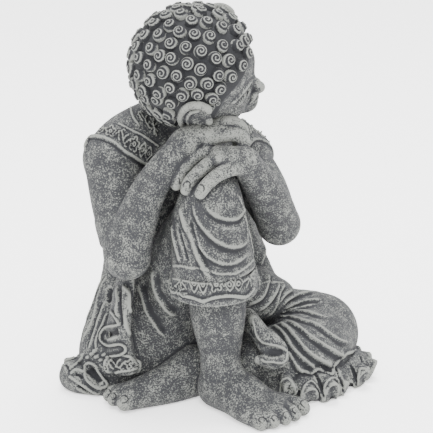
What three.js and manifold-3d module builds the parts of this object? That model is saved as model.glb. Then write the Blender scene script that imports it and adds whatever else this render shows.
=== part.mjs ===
// Seated resting figure in cast stone: one knee raised, both hands crossed on it, the head on the hands.
// Millimetres, +Z up, the figure faces -Y, its right hand is towards -X, and the floor is z = 0.
// The real ornament is one massive casting. Here it is split where the sculptor's forms meet, so that
// the hair, face, ears, robe, limbs, hands, feet and ruffled hem are solids of their own.
import * as THREE from 'three';
import { mergeVertices } from 'three/addons/utils/BufferGeometryUtils.js';
import Module from 'manifold-3d';

const wasm = await Module();
wasm.setup();

// Driving dimensions
const GAP = 0.3; // clearance between neighbouring solids
const SIDES = 10; // facets round a limb
const SKULL_SIZES = [34.3, 36.4, 35.5]; // to its right, to the front and to the crown
const HAIRLINE = 7; // above the middle of the skull
const CURL_COUNT = 172; // on a whole sphere; the face and nape go without
const CURL_RADIUS = 4.6;
const CURL_HEIGHT = 7;
const PLEAT_SIZE = [7.4, 9.2]; // half width and half height of the plain pleats along the hem
const PLEAT_PITCH = 15.5;
const PLEAT_REAR = 24; // how far inside its mouth a pleat begins
const PLEAT_RISE = 15; // and how much higher
const MIDDLE = [1.17, 13.77]; // of the footprint, in the coordinates below; it becomes the origin

// Joints of the body
const HEAD_CENTRE = [-29, 14.3, 210];
const RIGHT_SHOULDER = [-58, 54.4, 144.5];
const RIGHT_ELBOW = [-74, 21.5, 98];
const RIGHT_WRIST = [-44, 3, 167];
const LEFT_SHOULDER = [38.5, 40, 132.5];
const LEFT_ELBOW = [16.6, -14.7, 108.5];
const LEFT_WRIST = [-21, -25, 157];
const RAISED_KNEE = [-34.8, -11.2, 136.8];
const FLAT_KNEE = [68, 0, 24];

// The head's own frame: x to its right ear, y out of the face, z to the crown.
const CROWN = new THREE.Vector3(-0.588, -0.377, 0.713).normalize();
const LOOK = new THREE.Vector3(0.539, -0.843, 0).normalize();
const HEAD_RIGHT = new THREE.Vector3().crossVectors(LOOK, CROWN).normalize();
const HEAD_FRAME = new THREE.Matrix4().makeBasis(HEAD_RIGHT, LOOK, CROWN);

// The outer line of the hem on the floor, from the toes of the flat leg round the back to the front.
const HEM_LINE = [
  [-68, 38], [-80, 47.5], [-88.5, 61.5], [-86.5, 77], [-70, 90], [-40, 95], [-10, 96], [20, 95], [48, 90],
  [71, 79], [86, 62], [92, 38], [92, 12], [89, -16], [81, -39.5], [66, -50], [47, -54.5], [28, -58],
  [10, -53],
];
const HEM_CURVE = new THREE.CatmullRomCurve3(HEM_LINE.map(([x, y]) => new THREE.Vector3(x, y, 0)));

// Pleats seen in the photograph: share of the hem line, distance inside it, height, half width and height.
const FRONT_PLEATS = [
  [0.76, 6, 4, 7, 8.6], [0.795, 6, 4, 6.6, 9], [0.835, 5, 4, 6.5, 9.6], [0.878, 5, 4, 6.9, 11],
  [0.925, 5.5, 3, 4.8, 7.8], [0.962, 5, 3, 6.8, 12], [0.998, 6, 3, 7, 10.2],
];
const RIGHT_PLEATS = [
  [0.122, 6, 6, 5.8, 9.2], [0.152, 5, 5, 6.5, 10.2], [0.19, 5, 4, 6.8, 9.2], [0.226, 5, 4, 6.9, 9],
];

const v3 = (p) => new THREE.Vector3(p[0], p[1], p[2]);

const headPoint = (right, front, up) =>
  new THREE.Vector3(right, front, up).applyMatrix4(HEAD_FRAME).add(v3(HEAD_CENTRE)).toArray();

// A three.js geometry as a solid that can be joined and cut.
function solidOf(geometry) {
  const bare = geometry.index ? geometry.toNonIndexed() : geometry.clone();
  for (const name of Object.keys(bare.attributes)) {
    if (name !== 'position') bare.deleteAttribute(name);
  }
  const merged = mergeVertices(bare, 1e-4);
  return new wasm.Manifold(new wasm.Mesh({
    numProp: 3,
    vertProperties: merged.attributes.position.array,
    triVerts: new Uint32Array(merged.index.array),
  }));
}

// A solid as a three.js geometry.
function geometryOf(solid) {
  const mesh = solid.getMesh();
  const geometry = new THREE.BufferGeometry();
  const points = new Float32Array(mesh.numVert * 3);
  for (let i = 0; i < mesh.numVert; i++) {
    points.set(mesh.vertProperties.subarray(i * mesh.numProp, i * mesh.numProp + 3), i * 3);
  }
  geometry.setAttribute('position', new THREE.BufferAttribute(points, 3));
  geometry.setIndex(new THREE.BufferAttribute(new Uint32Array(mesh.triVerts), 1));
  return geometry;
}

// A tapering form along a smooth line, round at both ends. Each station is [x, y, z, half width, half
// depth], and the width lies along the direction given as across. grow swells the form evenly, and domes
// tell how far its two ends bulge as a share of their radius.
function limb(stations, across, grow = 0, steps = 2, sides = SIDES, domes = [1, 1]) {
  const centres = new THREE.CatmullRomCurve3(stations.map(v3), false, 'centripetal');
  const sizes = new THREE.CatmullRomCurve3(stations.map((s) => new THREE.Vector3(s[3], s[4] ?? s[3], 0)));
  const hint = v3(across).normalize();
  const section = (t) => {
    const along = centres.getTangent(t).normalize();
    const wide = hint.clone().addScaledVector(along, -hint.dot(along)).normalize();
    const deep = new THREE.Vector3().crossVectors(along, wide);
    const size = sizes.getPoint(t);
    return { at: centres.getPoint(t), along, wide, deep, a: size.x + grow, b: size.y + grow };
  };
  const rings = [];
  const ring = (s, shrink, forward) => {
    const points = [];
    for (let k = 0; k < sides; k++) {
      const angle = (2 * Math.PI * k) / sides;
      points.push(s.at.clone().addScaledVector(s.along, forward)
        .addScaledVector(s.wide, Math.cos(angle) * s.a * shrink)
        .addScaledVector(s.deep, Math.sin(angle) * s.b * shrink));
    }
    rings.push(points);
  };
  const domeAngles = sides > 8 ? [0.45, 0.95] : [0.7];
  const first = section(0);
  const firstReach = Math.min(first.a, first.b) * domes[0];
  for (const angle of [...domeAngles].reverse()) {
    ring(first, Math.cos(angle), -firstReach * Math.sin(angle));
  }
  const count = steps * (stations.length - 1);
  for (let i = 0; i <= count; i++) ring(section(i / count), 1, 0);
  const last = section(1);
  const lastReach = Math.min(last.a, last.b) * domes[1];
  for (const angle of domeAngles) ring(last, Math.cos(angle), lastReach * Math.sin(angle));

  const points = rings.flat();
  const start = points.length;
  points.push(first.at.clone().addScaledVector(first.along, -firstReach));
  points.push(last.at.clone().addScaledVector(last.along, lastReach));
  const faces = [];
  for (let r = 0; r + 1 < rings.length; r++) {
    for (let k = 0; k < sides; k++) {
      const a = r * sides + k;
      const b = r * sides + ((k + 1) % sides);
      faces.push(a, b, b + sides, a, b + sides, a + sides);
    }
  }
  const top = (rings.length - 1) * sides;
  for (let k = 0; k < sides; k++) {
    const next = (k + 1) % sides;
    faces.push(start, next, k, start + 1, top + k, top + next);
  }
  const geometry = new THREE.BufferGeometry().setFromPoints(points);
  geometry.setIndex(faces);
  return solidOf(geometry);
}

// An ellipsoid with its three half sizes along the axes, or along those of frame.
function ball(centre, [a, b, c], grow = 0, frame = null, detail = [14, 10]) {
  const geometry = new THREE.SphereGeometry(1, detail[0], detail[1]);
  geometry.scale(a + grow, b + grow, c + grow);
  if (frame) geometry.applyMatrix4(frame);
  geometry.translate(...centre);
  return solidOf(geometry);
}

const join = (...solids) => wasm.Manifold.union(solids);

// Whether a direction in the head's frame points at skin: below the hairline, in front of the temples.
const isSkin = (front, up) => up < 0.3 && front - 0.55 * up > 0.55;

// Directions of the curls: an even spiral over the skull, without the face, the nape and the ears.
function curlDirections() {
  const found = [];
  const golden = Math.PI * (3 - Math.sqrt(5));
  for (let i = 0; i < CURL_COUNT; i++) {
    const up = 1 - (2 * (i + 0.5)) / CURL_COUNT;
    const round = Math.sqrt(1 - up * up);
    const right = round * Math.cos(i * golden);
    const front = round * Math.sin(i * golden);
    const overEar = Math.abs(right) > 0.76 && front > -0.45 && front < 0.5 && up < 0.42;
    if (!isSkin(front, up) && up > -0.75 && !overEar) found.push([right, front, up]);
  }
  return found;
}

// A long ear on the side given as 1 for right and -1 for left: a plate with a rolled rim and a lobe.
function ear(side, grow) {
  const at = (right, front, up, ...sizes) => [...headPoint(right * side, front, up), ...sizes];
  const rim = [
    at(32.8, 18.6, 3.5, 2.2), at(34.2, 19.2, 8.5, 2.6), at(34.8, 15.2, 12.6, 2.7), at(35, 9, 11.4, 2.7),
    at(34.6, 3.6, 5.2, 2.6), at(33.8, -0.4, -5, 2.5), at(32.4, -1.6, -15, 2.4), at(31, 0.4, -24, 2.8),
    at(30, 4, -30.5, 3.2), at(30, 8, -27, 2.6), at(31, 10, -19, 2.3),
  ];
  return join(
    ball(headPoint(31.2 * side, 8.2, -4), [3.7, 9.7, 15], grow, HEAD_FRAME, [14, 8]),
    ball(headPoint(29.2 * side, 3.8, -21), [3.1, 5.9, 10], grow, HEAD_FRAME, [12, 6]),
    limb(rim, HEAD_RIGHT.toArray(), grow, 1, 6),
  );
}

// The block of the head that is skin: below the hairline and in front of the temples.
function skinBlock(grow) {
  const block = new THREE.BoxGeometry(80, 24, 60).translate(0, 30 - grow, HAIRLINE - 30 + grow);
  return solidOf(block.applyMatrix4(HEAD_FRAME).translate(...HEAD_CENTRE));
}

// One side of the face's lids and cheeks, all of it in plain, regular proportions.
function eyeAndCheek(side, grow) {
  return [
    ball(headPoint(11.8 * side, 27.2, -11), [7.8, 6.9, 4.9], grow, HEAD_FRAME, [12, 8]),
    ball(headPoint(13.5 * side, 19, -19.5), [11.5, 11, 12], grow, HEAD_FRAME, [12, 8]),
    limb([
      [...headPoint(3.4 * side, 35.4, -7.4), 1.6],
      [...headPoint(11 * side, 34.4, -3.6), 1.8],
      [...headPoint(20 * side, 29.2, -4.6), 1.5],
    ], HEAD_RIGHT.toArray(), grow, 2, 6),
  ];
}

// Fingers or toes: each a list of stations, to be joined to the palm or the foot.
const digits = (list, across, grow) => list.map((stations) => limb(stations, across, grow, 1, 6));

// A point of the floor inside the hem line, at a share of its length, and the direction inward.
function onHem(share, inside) {
  const way = HEM_CURVE.getTangentAt(share);
  const inward = new THREE.Vector3(way.y, -way.x, 0).normalize();
  return { at: HEM_CURVE.getPointAt(share).addScaledVector(inward, inside), way, inward };
}

// A pleat: a tube of cloth that comes down from inside and widens to its mouth.
function pleat([share, inside, z, width, height], grow) {
  const { at, way, inward } = onHem(share, inside);
  const station = (back, shareOfWidth, shareOfHeight) => {
    const p = at.clone().addScaledVector(inward, back * PLEAT_REAR);
    return [p.x, p.y, z + back ** 1.25 * PLEAT_RISE, shareOfWidth * width, shareOfHeight * height];
  };
  const stations = [station(1, 0.6, 0.45), station(0.5, 0.82, 0.7), station(0, 1, 1)];
  return limb(stations, way.toArray(), grow, 1, 6, [1, 0.3]);
}

// Plain pleats, evenly spaced between two shares of the hem line.
function plainPleats(from, to) {
  const count = Math.round((HEM_CURVE.getLength() * (to - from)) / PLEAT_PITCH);
  const middle = (k) => from + ((to - from) * (k + 0.5)) / count;
  return Array.from({ length: count }, (_, k) => [middle(k), 5, 4, ...PLEAT_SIZE]);
}

// The hem between two shares of its line: pleats, joined by the roll of cloth that carries them.
function hem(from, to, grow, pleats = plainPleats(from, to)) {
  const roll = [];
  for (let k = 0; k <= 6; k++) {
    const { at } = onHem(from + ((to - from) * k) / 6, 16);
    roll.push([at.x, at.y, 7, 9.8]);
  }
  return join(limb(roll, [0, 0, 1], grow, 1, 5), ...pleats.map((sizes) => pleat(sizes, grow)));
}

const forms = {
  ear_right: (grow) => ear(1, grow),
  ear_left: (grow) => ear(-1, grow),
  face(grow) {
    const forehead = ball(headPoint(0, 1, 0), [33.5, 36, 34.8], grow, HEAD_FRAME, [20, 14]);
    return join(
      forehead.intersect(skinBlock(grow)),
      ball(headPoint(0, 8, -14), [25.5, 27.5, 28], grow, HEAD_FRAME, [18, 12]),
      ball(headPoint(0, 20.5, -30), [13, 12.6, 10.5], grow, HEAD_FRAME, [12, 8]),
      ...eyeAndCheek(1, grow),
      ...eyeAndCheek(-1, grow),
      limb([
        [...headPoint(0, 34.4, -7.2), 2.6],
        [...headPoint(0, 36.3, -13), 2.9],
        [...headPoint(0, 38.2, -19), 3.8],
      ], HEAD_RIGHT.toArray(), grow, 2, 8),
      ball(headPoint(0, 34.6, -20.3), [6.6, 3.6, 2.6], grow, HEAD_FRAME, [10, 6]),
      limb([
        [...headPoint(-7, 31.4, -28), 1.8],
        [...headPoint(0, 33.6, -28), 3.6],
        [...headPoint(7, 31.4, -28), 1.8],
      ], HEAD_RIGHT.toArray(), grow, 2, 6),
    );
  },
  hair(grow) {
    const [wide, deep, high] = SKULL_SIZES;
    const wholeSkull = ball(headPoint(0, 1.4, 0), SKULL_SIZES, grow, HEAD_FRAME, [16, 11]);
    const skull = wholeSkull.subtract(skinBlock(GAP));
    const curls = curlDirections().map(([right, front, up]) => {
      const at = v3(headPoint(right * wide, front * deep + 1.4, up * high));
      const outward = at.clone().sub(v3(HEAD_CENTRE)).normalize();
      const turn = new THREE.Quaternion().setFromUnitVectors(new THREE.Vector3(0, 1, 0), outward);
      const tip = CURL_RADIUS * 0.55 + grow;
      const snail = new THREE.CylinderGeometry(tip, CURL_RADIUS + grow, CURL_HEIGHT + 2 * grow, 5);
      snail.translate(0, CURL_HEIGHT * 0.12, 0);
      return solidOf(snail.applyQuaternion(turn).translate(at.x, at.y, at.z));
    });
    return join(skull, ...curls);
  },
  right_hand(grow) {
    return join(
      limb([
        [...RIGHT_WRIST, 9.7, 8.7],
        [-36, 2, 171.5, 11.8, 7.8],
        [-27, -2, 173, 12.8, 7.3],
        [-20, -6, 172, 11.8, 6.8],
      ], [0.5, 0.86, 0], grow),
      ...digits([
        [
          [-35, -5, 169, 5.3], [-27, -11, 171.6, 5.2], [-20.5, -16, 172, 5],
          [-17.2, -19.2, 168.4, 4.6], [-18, -20, 164, 4.1],
        ],
        [[-28, -3, 176, 4.9], [-20, -9.5, 178, 4.8], [-14.6, -14.2, 174.4, 4.6], [-13.4, -15.6, 167, 4.1]],
        [[-22, 4, 176.5, 4.9], [-14, -2.5, 177, 4.7], [-8.6, -7, 172, 4.4], [-8, -8, 164, 4.1]],
        [[-19, 10, 174, 4.9], [-11, 5, 173, 4.6], [-5, 1, 168, 4.3], [-4, 0, 160, 4]],
        [[-34, 10, 168, 5.3], [-24, 16, 166, 4.8], [-15, 16, 161, 4.3]],
      ], [0, 0, 1], grow),
    );
  },
  left_hand(grow) {
    return join(
      limb([
        [...LEFT_WRIST, 9.2, 8.7],
        [-27, -22, 159.5, 10.1, 7.5],
        [-35, -17.5, 161.5, 9.8, 6.3],
      ], [0.45, 0.85, 0.1], grow),
      ...digits([
        [
          [-27, -27, 156, 5.5], [-35, -28, 156, 4.9], [-43, -26, 153.4, 4.5],
          [-49.3, -23, 147.8, 4.2], [-52, -20.8, 142.6, 3.8],
        ],
        [
          [-34, -19, 161, 5], [-42, -17, 158.3, 4.6], [-48.5, -13.6, 152.6, 4.3],
          [-52, -10, 146.6, 4.1], [-53, -8.6, 142.2, 3.7],
        ],
        [
          [-37, -9, 162.8, 4.8], [-42, -5.5, 160.4, 4.5], [-48, -2.6, 154.6, 4.3],
          [-52, -1, 148.6, 4.1], [-53.6, -0.4, 143.6, 3.7],
        ],
        [[-36, -1, 162, 4.7], [-43, 4, 158, 4.4], [-49, 7, 151, 4.1], [-51, 8, 145, 3.7]],
      ], [0, 0, 1], grow),
    );
  },
  right_forearm(grow) {
    return limb([
      [...RIGHT_ELBOW, 14.3, 14.3],
      [-71, 18.2, 117, 13.9, 13.1],
      [-61.8, 12.3, 142.5, 11.3, 10.6],
      [...RIGHT_WRIST, 9.5, 8.7],
    ], [-0.6, -0.8, 0], grow);
  },
  left_forearm(grow) {
    return limb([
      [...LEFT_ELBOW, 13.4, 13.4],
      [7, -19, 123, 13.8, 12.8],
      [-8, -23, 142, 11.7, 10.7],
      [...LEFT_WRIST, 9.2, 8.7],
    ], [-0.3, -0.95, 0], grow);
  },
  right_upper_arm(grow) {
    return limb([
      [...RIGHT_SHOULDER, 17.7, 17.7],
      [-65.4, 40, 122, 16.4, 16.4],
      [...RIGHT_ELBOW, 13.8, 13.8],
    ], [1, 0, 0], grow, 3);
  },
  left_upper_arm(grow) {
    return limb([
      [...LEFT_SHOULDER, 16.3, 16.3],
      [30.2, 14.6, 121, 15.6, 15.6],
      [...LEFT_ELBOW, 13, 13],
    ], [1, 0, 0], grow, 3);
  },
  right_foot(grow) {
    return join(
      limb([
        [-27.6, -9, 10, 13.3, 12.6],
        [-27.6, -25, 12, 15.6, 14.3],
        [-25.8, -40, 7.8, 18.5, 10.3],
        [-21.9, -52.2, 5.2, 20.2, 8.3],
      ], [1, 0, 0], grow),
      ...digits([
        [[-8, -46, 6.4, 5.8], [-4.5, -54, 6, 5.6], [-3, -58.5, 5.2, 5.1]],
        [[-15, -50, 6, 4.7], [-13.8, -59, 6.6, 4.5], [-13.4, -63, 4.6, 4.2]],
        [[-22.5, -51, 5.8, 4.5], [-22, -60, 6.4, 4.4], [-21.8, -64, 4.4, 4]],
        [[-29.5, -50, 5.4, 4.4], [-30, -58.5, 5.8, 4.2], [-30, -62.5, 4.2, 3.9]],
        [[-36, -47, 5, 4.3], [-37.4, -55, 5.2, 4.1], [-37.8, -59, 4, 3.8]],
      ], [1, 0, 0], grow),
    );
  },
  right_shin(grow) {
    return limb([
      [-30, -14, 16, 13.2, 13.2],
      [-30, -13, 36, 12.8, 13.3],
      [-31, -12, 64, 17.2, 17.7],
      [-32, -10.5, 100, 17.2, 17.2],
    ], [1, 0, 0], grow);
  },
  knee_drape_border(grow) {
    return limb([
      [-33, -10.9, 87, 26.9, 26.1],
      [-32.6, -10.6, 77.5, 27.9, 26.9],
    ], [1, 0, 0], grow, 1, 14, [0.1, 0.1]);
  },
  knee_drape(grow) {
    return limb([
      [...RAISED_KNEE, 17.3, 17.3],
      [-35, -9.6, 126, 21.3, 21.3],
      [-35, -9.3, 114, 23.5, 23.3],
      [-33.2, -10.8, 89, 26.1, 25.3],
    ], [1, 0, 0], grow, 2, 12, [1, 0.1]);
  },
  right_thigh_robe(grow) {
    return limb([
      [-22, 50, 42, 30.3, 30.3],
      [-25, 31, 74, 25.3, 25.3],
      [-29, 8, 110, 19.8, 19.8],
      [...RAISED_KNEE, 15.3, 15.3],
    ], [1, 0, 0], grow);
  },
  left_foot(grow) {
    return join(
      limb([
        [-28, 13.5, 15, 17, 14.5],
        [-46, 14.5, 11.4, 13.4, 12],
        [-62, 18.2, 9, 10.6, 11],
        [-73, 22, 7.4, 8.6, 10.8],
      ], [0, 0, 1], grow),
      ...digits([
        [[-69, 16.5, 7.5, 6], [-77, 16.8, 7, 5.7], [-81, 17, 6, 5.2]],
        [[-72, 24, 8, 4.8], [-79, 25, 8.6, 4.4], [-83, 25.6, 6, 4.1]],
        [[-70, 31, 8, 4.6], [-77, 32.5, 8, 4.2], [-80.5, 33.5, 5.6, 3.9]],
      ], [0, 0, 1], grow),
    );
  },
  neck(grow) {
    return limb([[-11, 44, 156, 19, 18], [-15, 30, 178, 17, 17]], [1, 0, 0], grow);
  },
  shoulder_robe_right(grow) {
    return limb([
      [-57.5, 55.6, 149, 18.8],
      [-44.5, 55, 157.2, 19.2],
      [-27, 50, 165, 18.4],
      [-16, 42, 172, 17],
    ], [0, 1, 0], grow);
  },
  shoulder_robe_left(grow) {
    return limb([
      [38, 41, 135.5, 18.2],
      [26, 44, 145, 18.6],
      [10, 46, 154, 18.4],
      [-4, 42, 162.5, 17.2],
    ], [0, 1, 0], grow);
  },
  torso(grow) {
    return join(
      limb([
        [-5, 55, 84, 50.3, 33.5],
        [-8, 54, 118, 49.5, 31],
        [-9, 50, 140, 44.5, 27],
        [-12, 45, 156, 30, 22],
      ], [0.99, -0.12, 0], grow, 2, 15, [0.05, 1]),
      limb([
        [-54, 60, 133, 8],
        [-60, 60, 112, 8.2],
        [-59, 60, 92, 7],
        [-60, 60, 72, 5],
      ], [1, 0, 0], grow, 2, 8),
      limb([
        [36, 28, 60, 12.3],
        [28, 34, 78, 14.8],
        [23, 38, 98, 14.3],
        [20, 41, 114, 11.3],
      ], [1, 0, 0], grow, 2, 8),
    );
  },
  lap_sash(grow) {
    return limb([
      [40, 16, 46, 16.5, 16],
      [21, 12, 55.5, 17.2, 17.5],
      [2, 14, 59.5, 17.5, 18],
      [-10, 18, 57, 14, 15],
    ], [0, 1, 0], grow);
  },
  cloth_fold(grow) {
    return join(
      limb([
        [-4, -8, 50, 7, 6],
        [-6, -22, 45, 6.2, 6.2],
        [-6, -31, 38, 6.7, 6.2],
      ], [0.755, -0.656, 0], grow),
      limb([
        [-12, -23, 55, 3.4, 3.2],
        [-10.3, -28.6, 47.6, 5, 4.6],
        [-6.7, -33.7, 43.4, 5.2, 5.2],
        [-3.2, -37.5, 39.5, 4.4, 4.2],
      ], [0, 0, 1], grow, 2, 8),
      limb([
        [-14.8, -31.6, 31.6, 3.2, 3],
        [-9, -36.6, 31.4, 5.8, 4.2],
        [-3.4, -39.8, 32.4, 5.2, 4],
        [-1.4, -38.6, 37, 3.4, 3.4],
      ], [0, 0, 1], grow, 2, 8),
    );
  },
  left_thigh_robe(grow) {
    return limb([
      [22, 44, 24, 27.5, 27.5],
      [48, 22, 24.5, 25.8, 25.8],
      [...FLAT_KNEE, 23.8, 23.8],
    ], [1, 0, 0], grow);
  },
  left_shin_robe(grow) {
    return limb([
      [64, -4, 21, 24, 23],
      [36, -18, 20, 26, 23],
      [8, -10, 18, 24, 20],
      [-12, 6, 16, 16, 16],
    ], [0, 1, 0], grow);
  },
  robe_edge(grow) {
    return join(
      limb([
        [-58, 37, 90, 7, 4.8],
        [-63, 37, 76, 9.3, 5.3],
        [-67, 36.5, 60, 11.8, 5.8],
        [-69.5, 36, 44, 13.3, 6.8],
        [-68, 34, 22, 14.3, 7.8],
      ], [0.3, 0.95, 0], grow, 2, SIDES, [0.6, 0.6]),
      limb([
        [-78.5, 37, 24, 2.9, 5.3],
        [-72, 31, 25, 3.1, 5.9],
        [-65.3, 24, 24, 2.9, 4.9],
      ], [0.656, 0.755, 0], grow, 2, 8),
    );
  },
  skirt(grow) {
    return limb([
      [0, 50, 0, 79, 33],
      [-2, 53, 26, 77, 40.3],
      [-4, 54, 54, 60.3, 37],
      [-5, 55, 88, 49.8, 33],
    ], [0.99, -0.12, 0], grow, 2, 15, [0.3, 0.1]);
  },
  hem_right(grow) {
    const front = [0, 0.04, 0.08, 0.115].map((share) => {
      const { at } = onHem(share, 9.5);
      return [at.x, at.y, 7.5, 9.8, 10.3];
    });
    return join(hem(0, 0.24, grow, RIGHT_PLEATS), limb(front, [0, 0, 1], grow, 2, 8));
  },
  hem_back: (grow) => hem(0.245, 0.5, grow),
  hem_left: (grow) => hem(0.505, 0.74, grow),
  hem_front: (grow) => hem(0.745, 1, grow, FRONT_PLEATS),
};

// Everything ends on the floor, so the base is flat.
const floorCutter = solidOf(new THREE.BoxGeometry(600, 600, 200).translate(0, 0, -100));

// Each form is cut back from the forms listed before it, with the gap left between them.
const figure = new THREE.Group();
const swollen = [];
for (const [name, form] of Object.entries(forms)) {
  const whole = form(0).subtract(floorCutter);
  const cut = swollen.length ? whole.subtract(wasm.Manifold.union(swollen)) : whole;
  const [largest] = cut.decompose().sort((a, b) => b.volume() - a.volume());
  const geometry = geometryOf(largest).translate(-MIDDLE[0], -MIDDLE[1], 0);
  const mesh = new THREE.Mesh(geometry, new THREE.MeshStandardMaterial({
    color: 0x55575a, roughness: 0.88, metalness: 0,
  }));
  mesh.name = name;
  figure.add(mesh);
  swollen.push(form(GAP));
}

export default figure;
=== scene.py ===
"""Seated resting figure in dry-brushed cast stone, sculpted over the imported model."""
import math
from functools import partial

import bpy
import numpy as np
import openvdb
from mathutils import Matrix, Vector


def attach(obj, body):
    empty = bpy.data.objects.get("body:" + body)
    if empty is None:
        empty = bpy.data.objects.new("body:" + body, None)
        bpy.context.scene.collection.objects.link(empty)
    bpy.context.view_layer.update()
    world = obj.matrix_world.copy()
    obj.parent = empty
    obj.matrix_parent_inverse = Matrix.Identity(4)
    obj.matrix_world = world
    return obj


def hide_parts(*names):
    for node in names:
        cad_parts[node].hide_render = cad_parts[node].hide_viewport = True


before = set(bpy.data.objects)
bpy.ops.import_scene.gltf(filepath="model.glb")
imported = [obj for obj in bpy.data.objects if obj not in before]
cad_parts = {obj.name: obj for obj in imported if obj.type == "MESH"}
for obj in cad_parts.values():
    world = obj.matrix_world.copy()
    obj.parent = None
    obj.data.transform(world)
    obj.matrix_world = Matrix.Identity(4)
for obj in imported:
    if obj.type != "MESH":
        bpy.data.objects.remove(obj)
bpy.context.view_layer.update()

# All shapes are given in millimetres in the sculptor's coordinates, whose origin is MIDDLE from the part's.
MIDDLE = np.array([1.17, 13.77, 0.0])
VOXEL = 0.7
HEAD_VOXEL = 0.5
FAR = 60.0

# The photograph's camera, in the same coordinates.
PHOTO_WIDTH = 433
PHOTO_FOCAL = 2106.0
PHOTO_DISTANCE = 1300.0
PHOTO_TARGET = np.array([-9.8, 13.5, 112.0])
PHOTO_AZIMUTH = math.radians(-41)
PHOTO_ELEVATION = math.radians(17)
SENSOR_WIDTH = 36
BACK = np.array([
    math.sin(PHOTO_AZIMUTH) * math.cos(PHOTO_ELEVATION),
    -math.cos(PHOTO_AZIMUTH) * math.cos(PHOTO_ELEVATION),
    math.sin(PHOTO_ELEVATION),
])
EYE = PHOTO_TARGET + BACK * PHOTO_DISTANCE
RIGHT = np.cross(-BACK, [0, 0, 1.0])
RIGHT /= np.linalg.norm(RIGHT)
UP = np.cross(RIGHT, -BACK)

camera = bpy.data.objects.new("camera", bpy.data.cameras.new("camera"))
bpy.context.scene.collection.objects.link(camera)
bpy.context.scene.camera = camera
camera.data.sensor_width = SENSOR_WIDTH
camera.data.lens = SENSOR_WIDTH * PHOTO_FOCAL / PHOTO_WIDTH
camera.data.clip_end = 20
camera.location = Vector((EYE - MIDDLE) / 1000)
camera.rotation_euler = Vector(-BACK).to_track_quat("-Z", "Y").to_euler()


# Curves and distance fields.
def unit(v):
    v = np.asarray(v, float)
    return v / np.linalg.norm(v)


def smooth_line(stations, steps):
    """A smooth line through the stations, which may carry sizes after their coordinates."""
    p = np.asarray(stations, float)
    ends = np.vstack([2 * p[0] - p[1], p, 2 * p[-1] - p[-2]])
    out = []
    for i in range(len(p) - 1):
        a, b, c, d = ends[i:i + 4]
        for t in np.linspace(0, 1, steps, endpoint=False):
            out.append(0.5 * (2 * b + (c - a) * t + (2 * a - 5 * b + 4 * c - d) * t * t
                              + (3 * b - a - 3 * c + d) * t ** 3))
    out.append(p[-1])
    return np.array(out)


def smooth_min(a, b, k):
    h = np.clip(0.5 + 0.5 * (b - a) / k, 0, 1)
    return b + (a - b) * h - k * h * (1 - h)


def smooth_step(x, low, high):
    t = np.clip((x - low) / (high - low), 0, 1)
    return t * t * (3 - 2 * t)


def ellipse_distance(u, v, w, a, b, c):
    k0 = np.sqrt((u / a) ** 2 + (v / b) ** 2 + (w / c) ** 2)
    k1 = np.sqrt((u / a ** 2) ** 2 + (v / b ** 2) ** 2 + (w / c ** 2) ** 2)
    return np.where(k0 < 1e-3, -np.minimum(a, b), k0 * (k0 - 1) / np.maximum(k1, 1e-6))


class Limb:
    """A tapering form along a smooth line. Each station is x, y, z, half width and half depth."""
    blend = None
    cuts = False

    def __init__(self, stations, across=(0, 0, 1), domes=(1, 1), steps=4):
        stations = [s if len(s) == 5 else (*s, s[3]) for s in stations]
        self.line = smooth_line(stations, steps).astype(np.float32)
        self.across = unit(across)
        self.domes = domes
        reach = self.line[:, 3:].max(axis=1, keepdims=True)
        self.low = (self.line[:, :3] - reach).min(axis=0)
        self.high = (self.line[:, :3] + reach).max(axis=0)

    def distance(self, p):
        best = np.full(len(p), FAR, np.float32)
        last = len(self.line) - 2
        for i in range(last + 1):
            start, end = self.line[i], self.line[i + 1]
            along = end[:3] - start[:3]
            length = np.linalg.norm(along)
            along = along / length
            wide = unit(self.across - along * self.across.dot(along)).astype(np.float32)
            deep = np.cross(along, wide).astype(np.float32)
            r = p - start[:3]
            way = r @ along
            t = np.clip(way / length, 0, 1)
            a = start[3] + (end[3] - start[3]) * t
            b = start[4] + (end[4] - start[4]) * t
            c = np.minimum(a, b)
            if i == 0:
                c = np.where(way < 0, c * self.domes[0], c)
            if i == last:
                c = np.where(way > length, c * self.domes[1], c)
            best = np.minimum(best, ellipse_distance(r @ wide, r @ deep, way - t * length, a, b, c))
            if i == last and self.domes[1] < 1:
                best = -smooth_min(-best, length + self.domes[1] * min(end[3:]) - way, 1.0)
        if self.domes[0] < 1:
            start, along = self.line[0], self.line[1, :3] - self.line[0, :3]
            way = (p - start[:3]) @ (along / np.linalg.norm(along))
            best = -smooth_min(-best, way + self.domes[0] * min(start[3:]), 1.0)
        return best


class Ball:
    """An ellipsoid with its half sizes along the rows of axes."""
    blend = None
    cuts = False

    def __init__(self, centre, sizes, axes=np.eye(3)):
        self.centre = np.asarray(centre, np.float32)
        self.sizes = np.asarray(sizes, np.float32)
        self.axes = np.asarray(axes, np.float32)
        reach = np.sqrt(((self.axes * self.sizes[:, None]) ** 2).sum(axis=0))
        self.low = self.centre - reach
        self.high = self.centre + reach

    def distance(self, p):
        r = (p - self.centre) @ self.axes.T
        a, b, c = self.sizes
        return ellipse_distance(r[:, 0], r[:, 1], r[:, 2], a, b, c)


def soft(form, blend):
    """The same form, joined to the earlier ones over its own blend width."""
    form.blend = blend
    return form


def cut(form, blend=0.8):
    """The same form, taken away from the earlier ones."""
    form.blend = blend
    form.cuts = True
    return form


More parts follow.
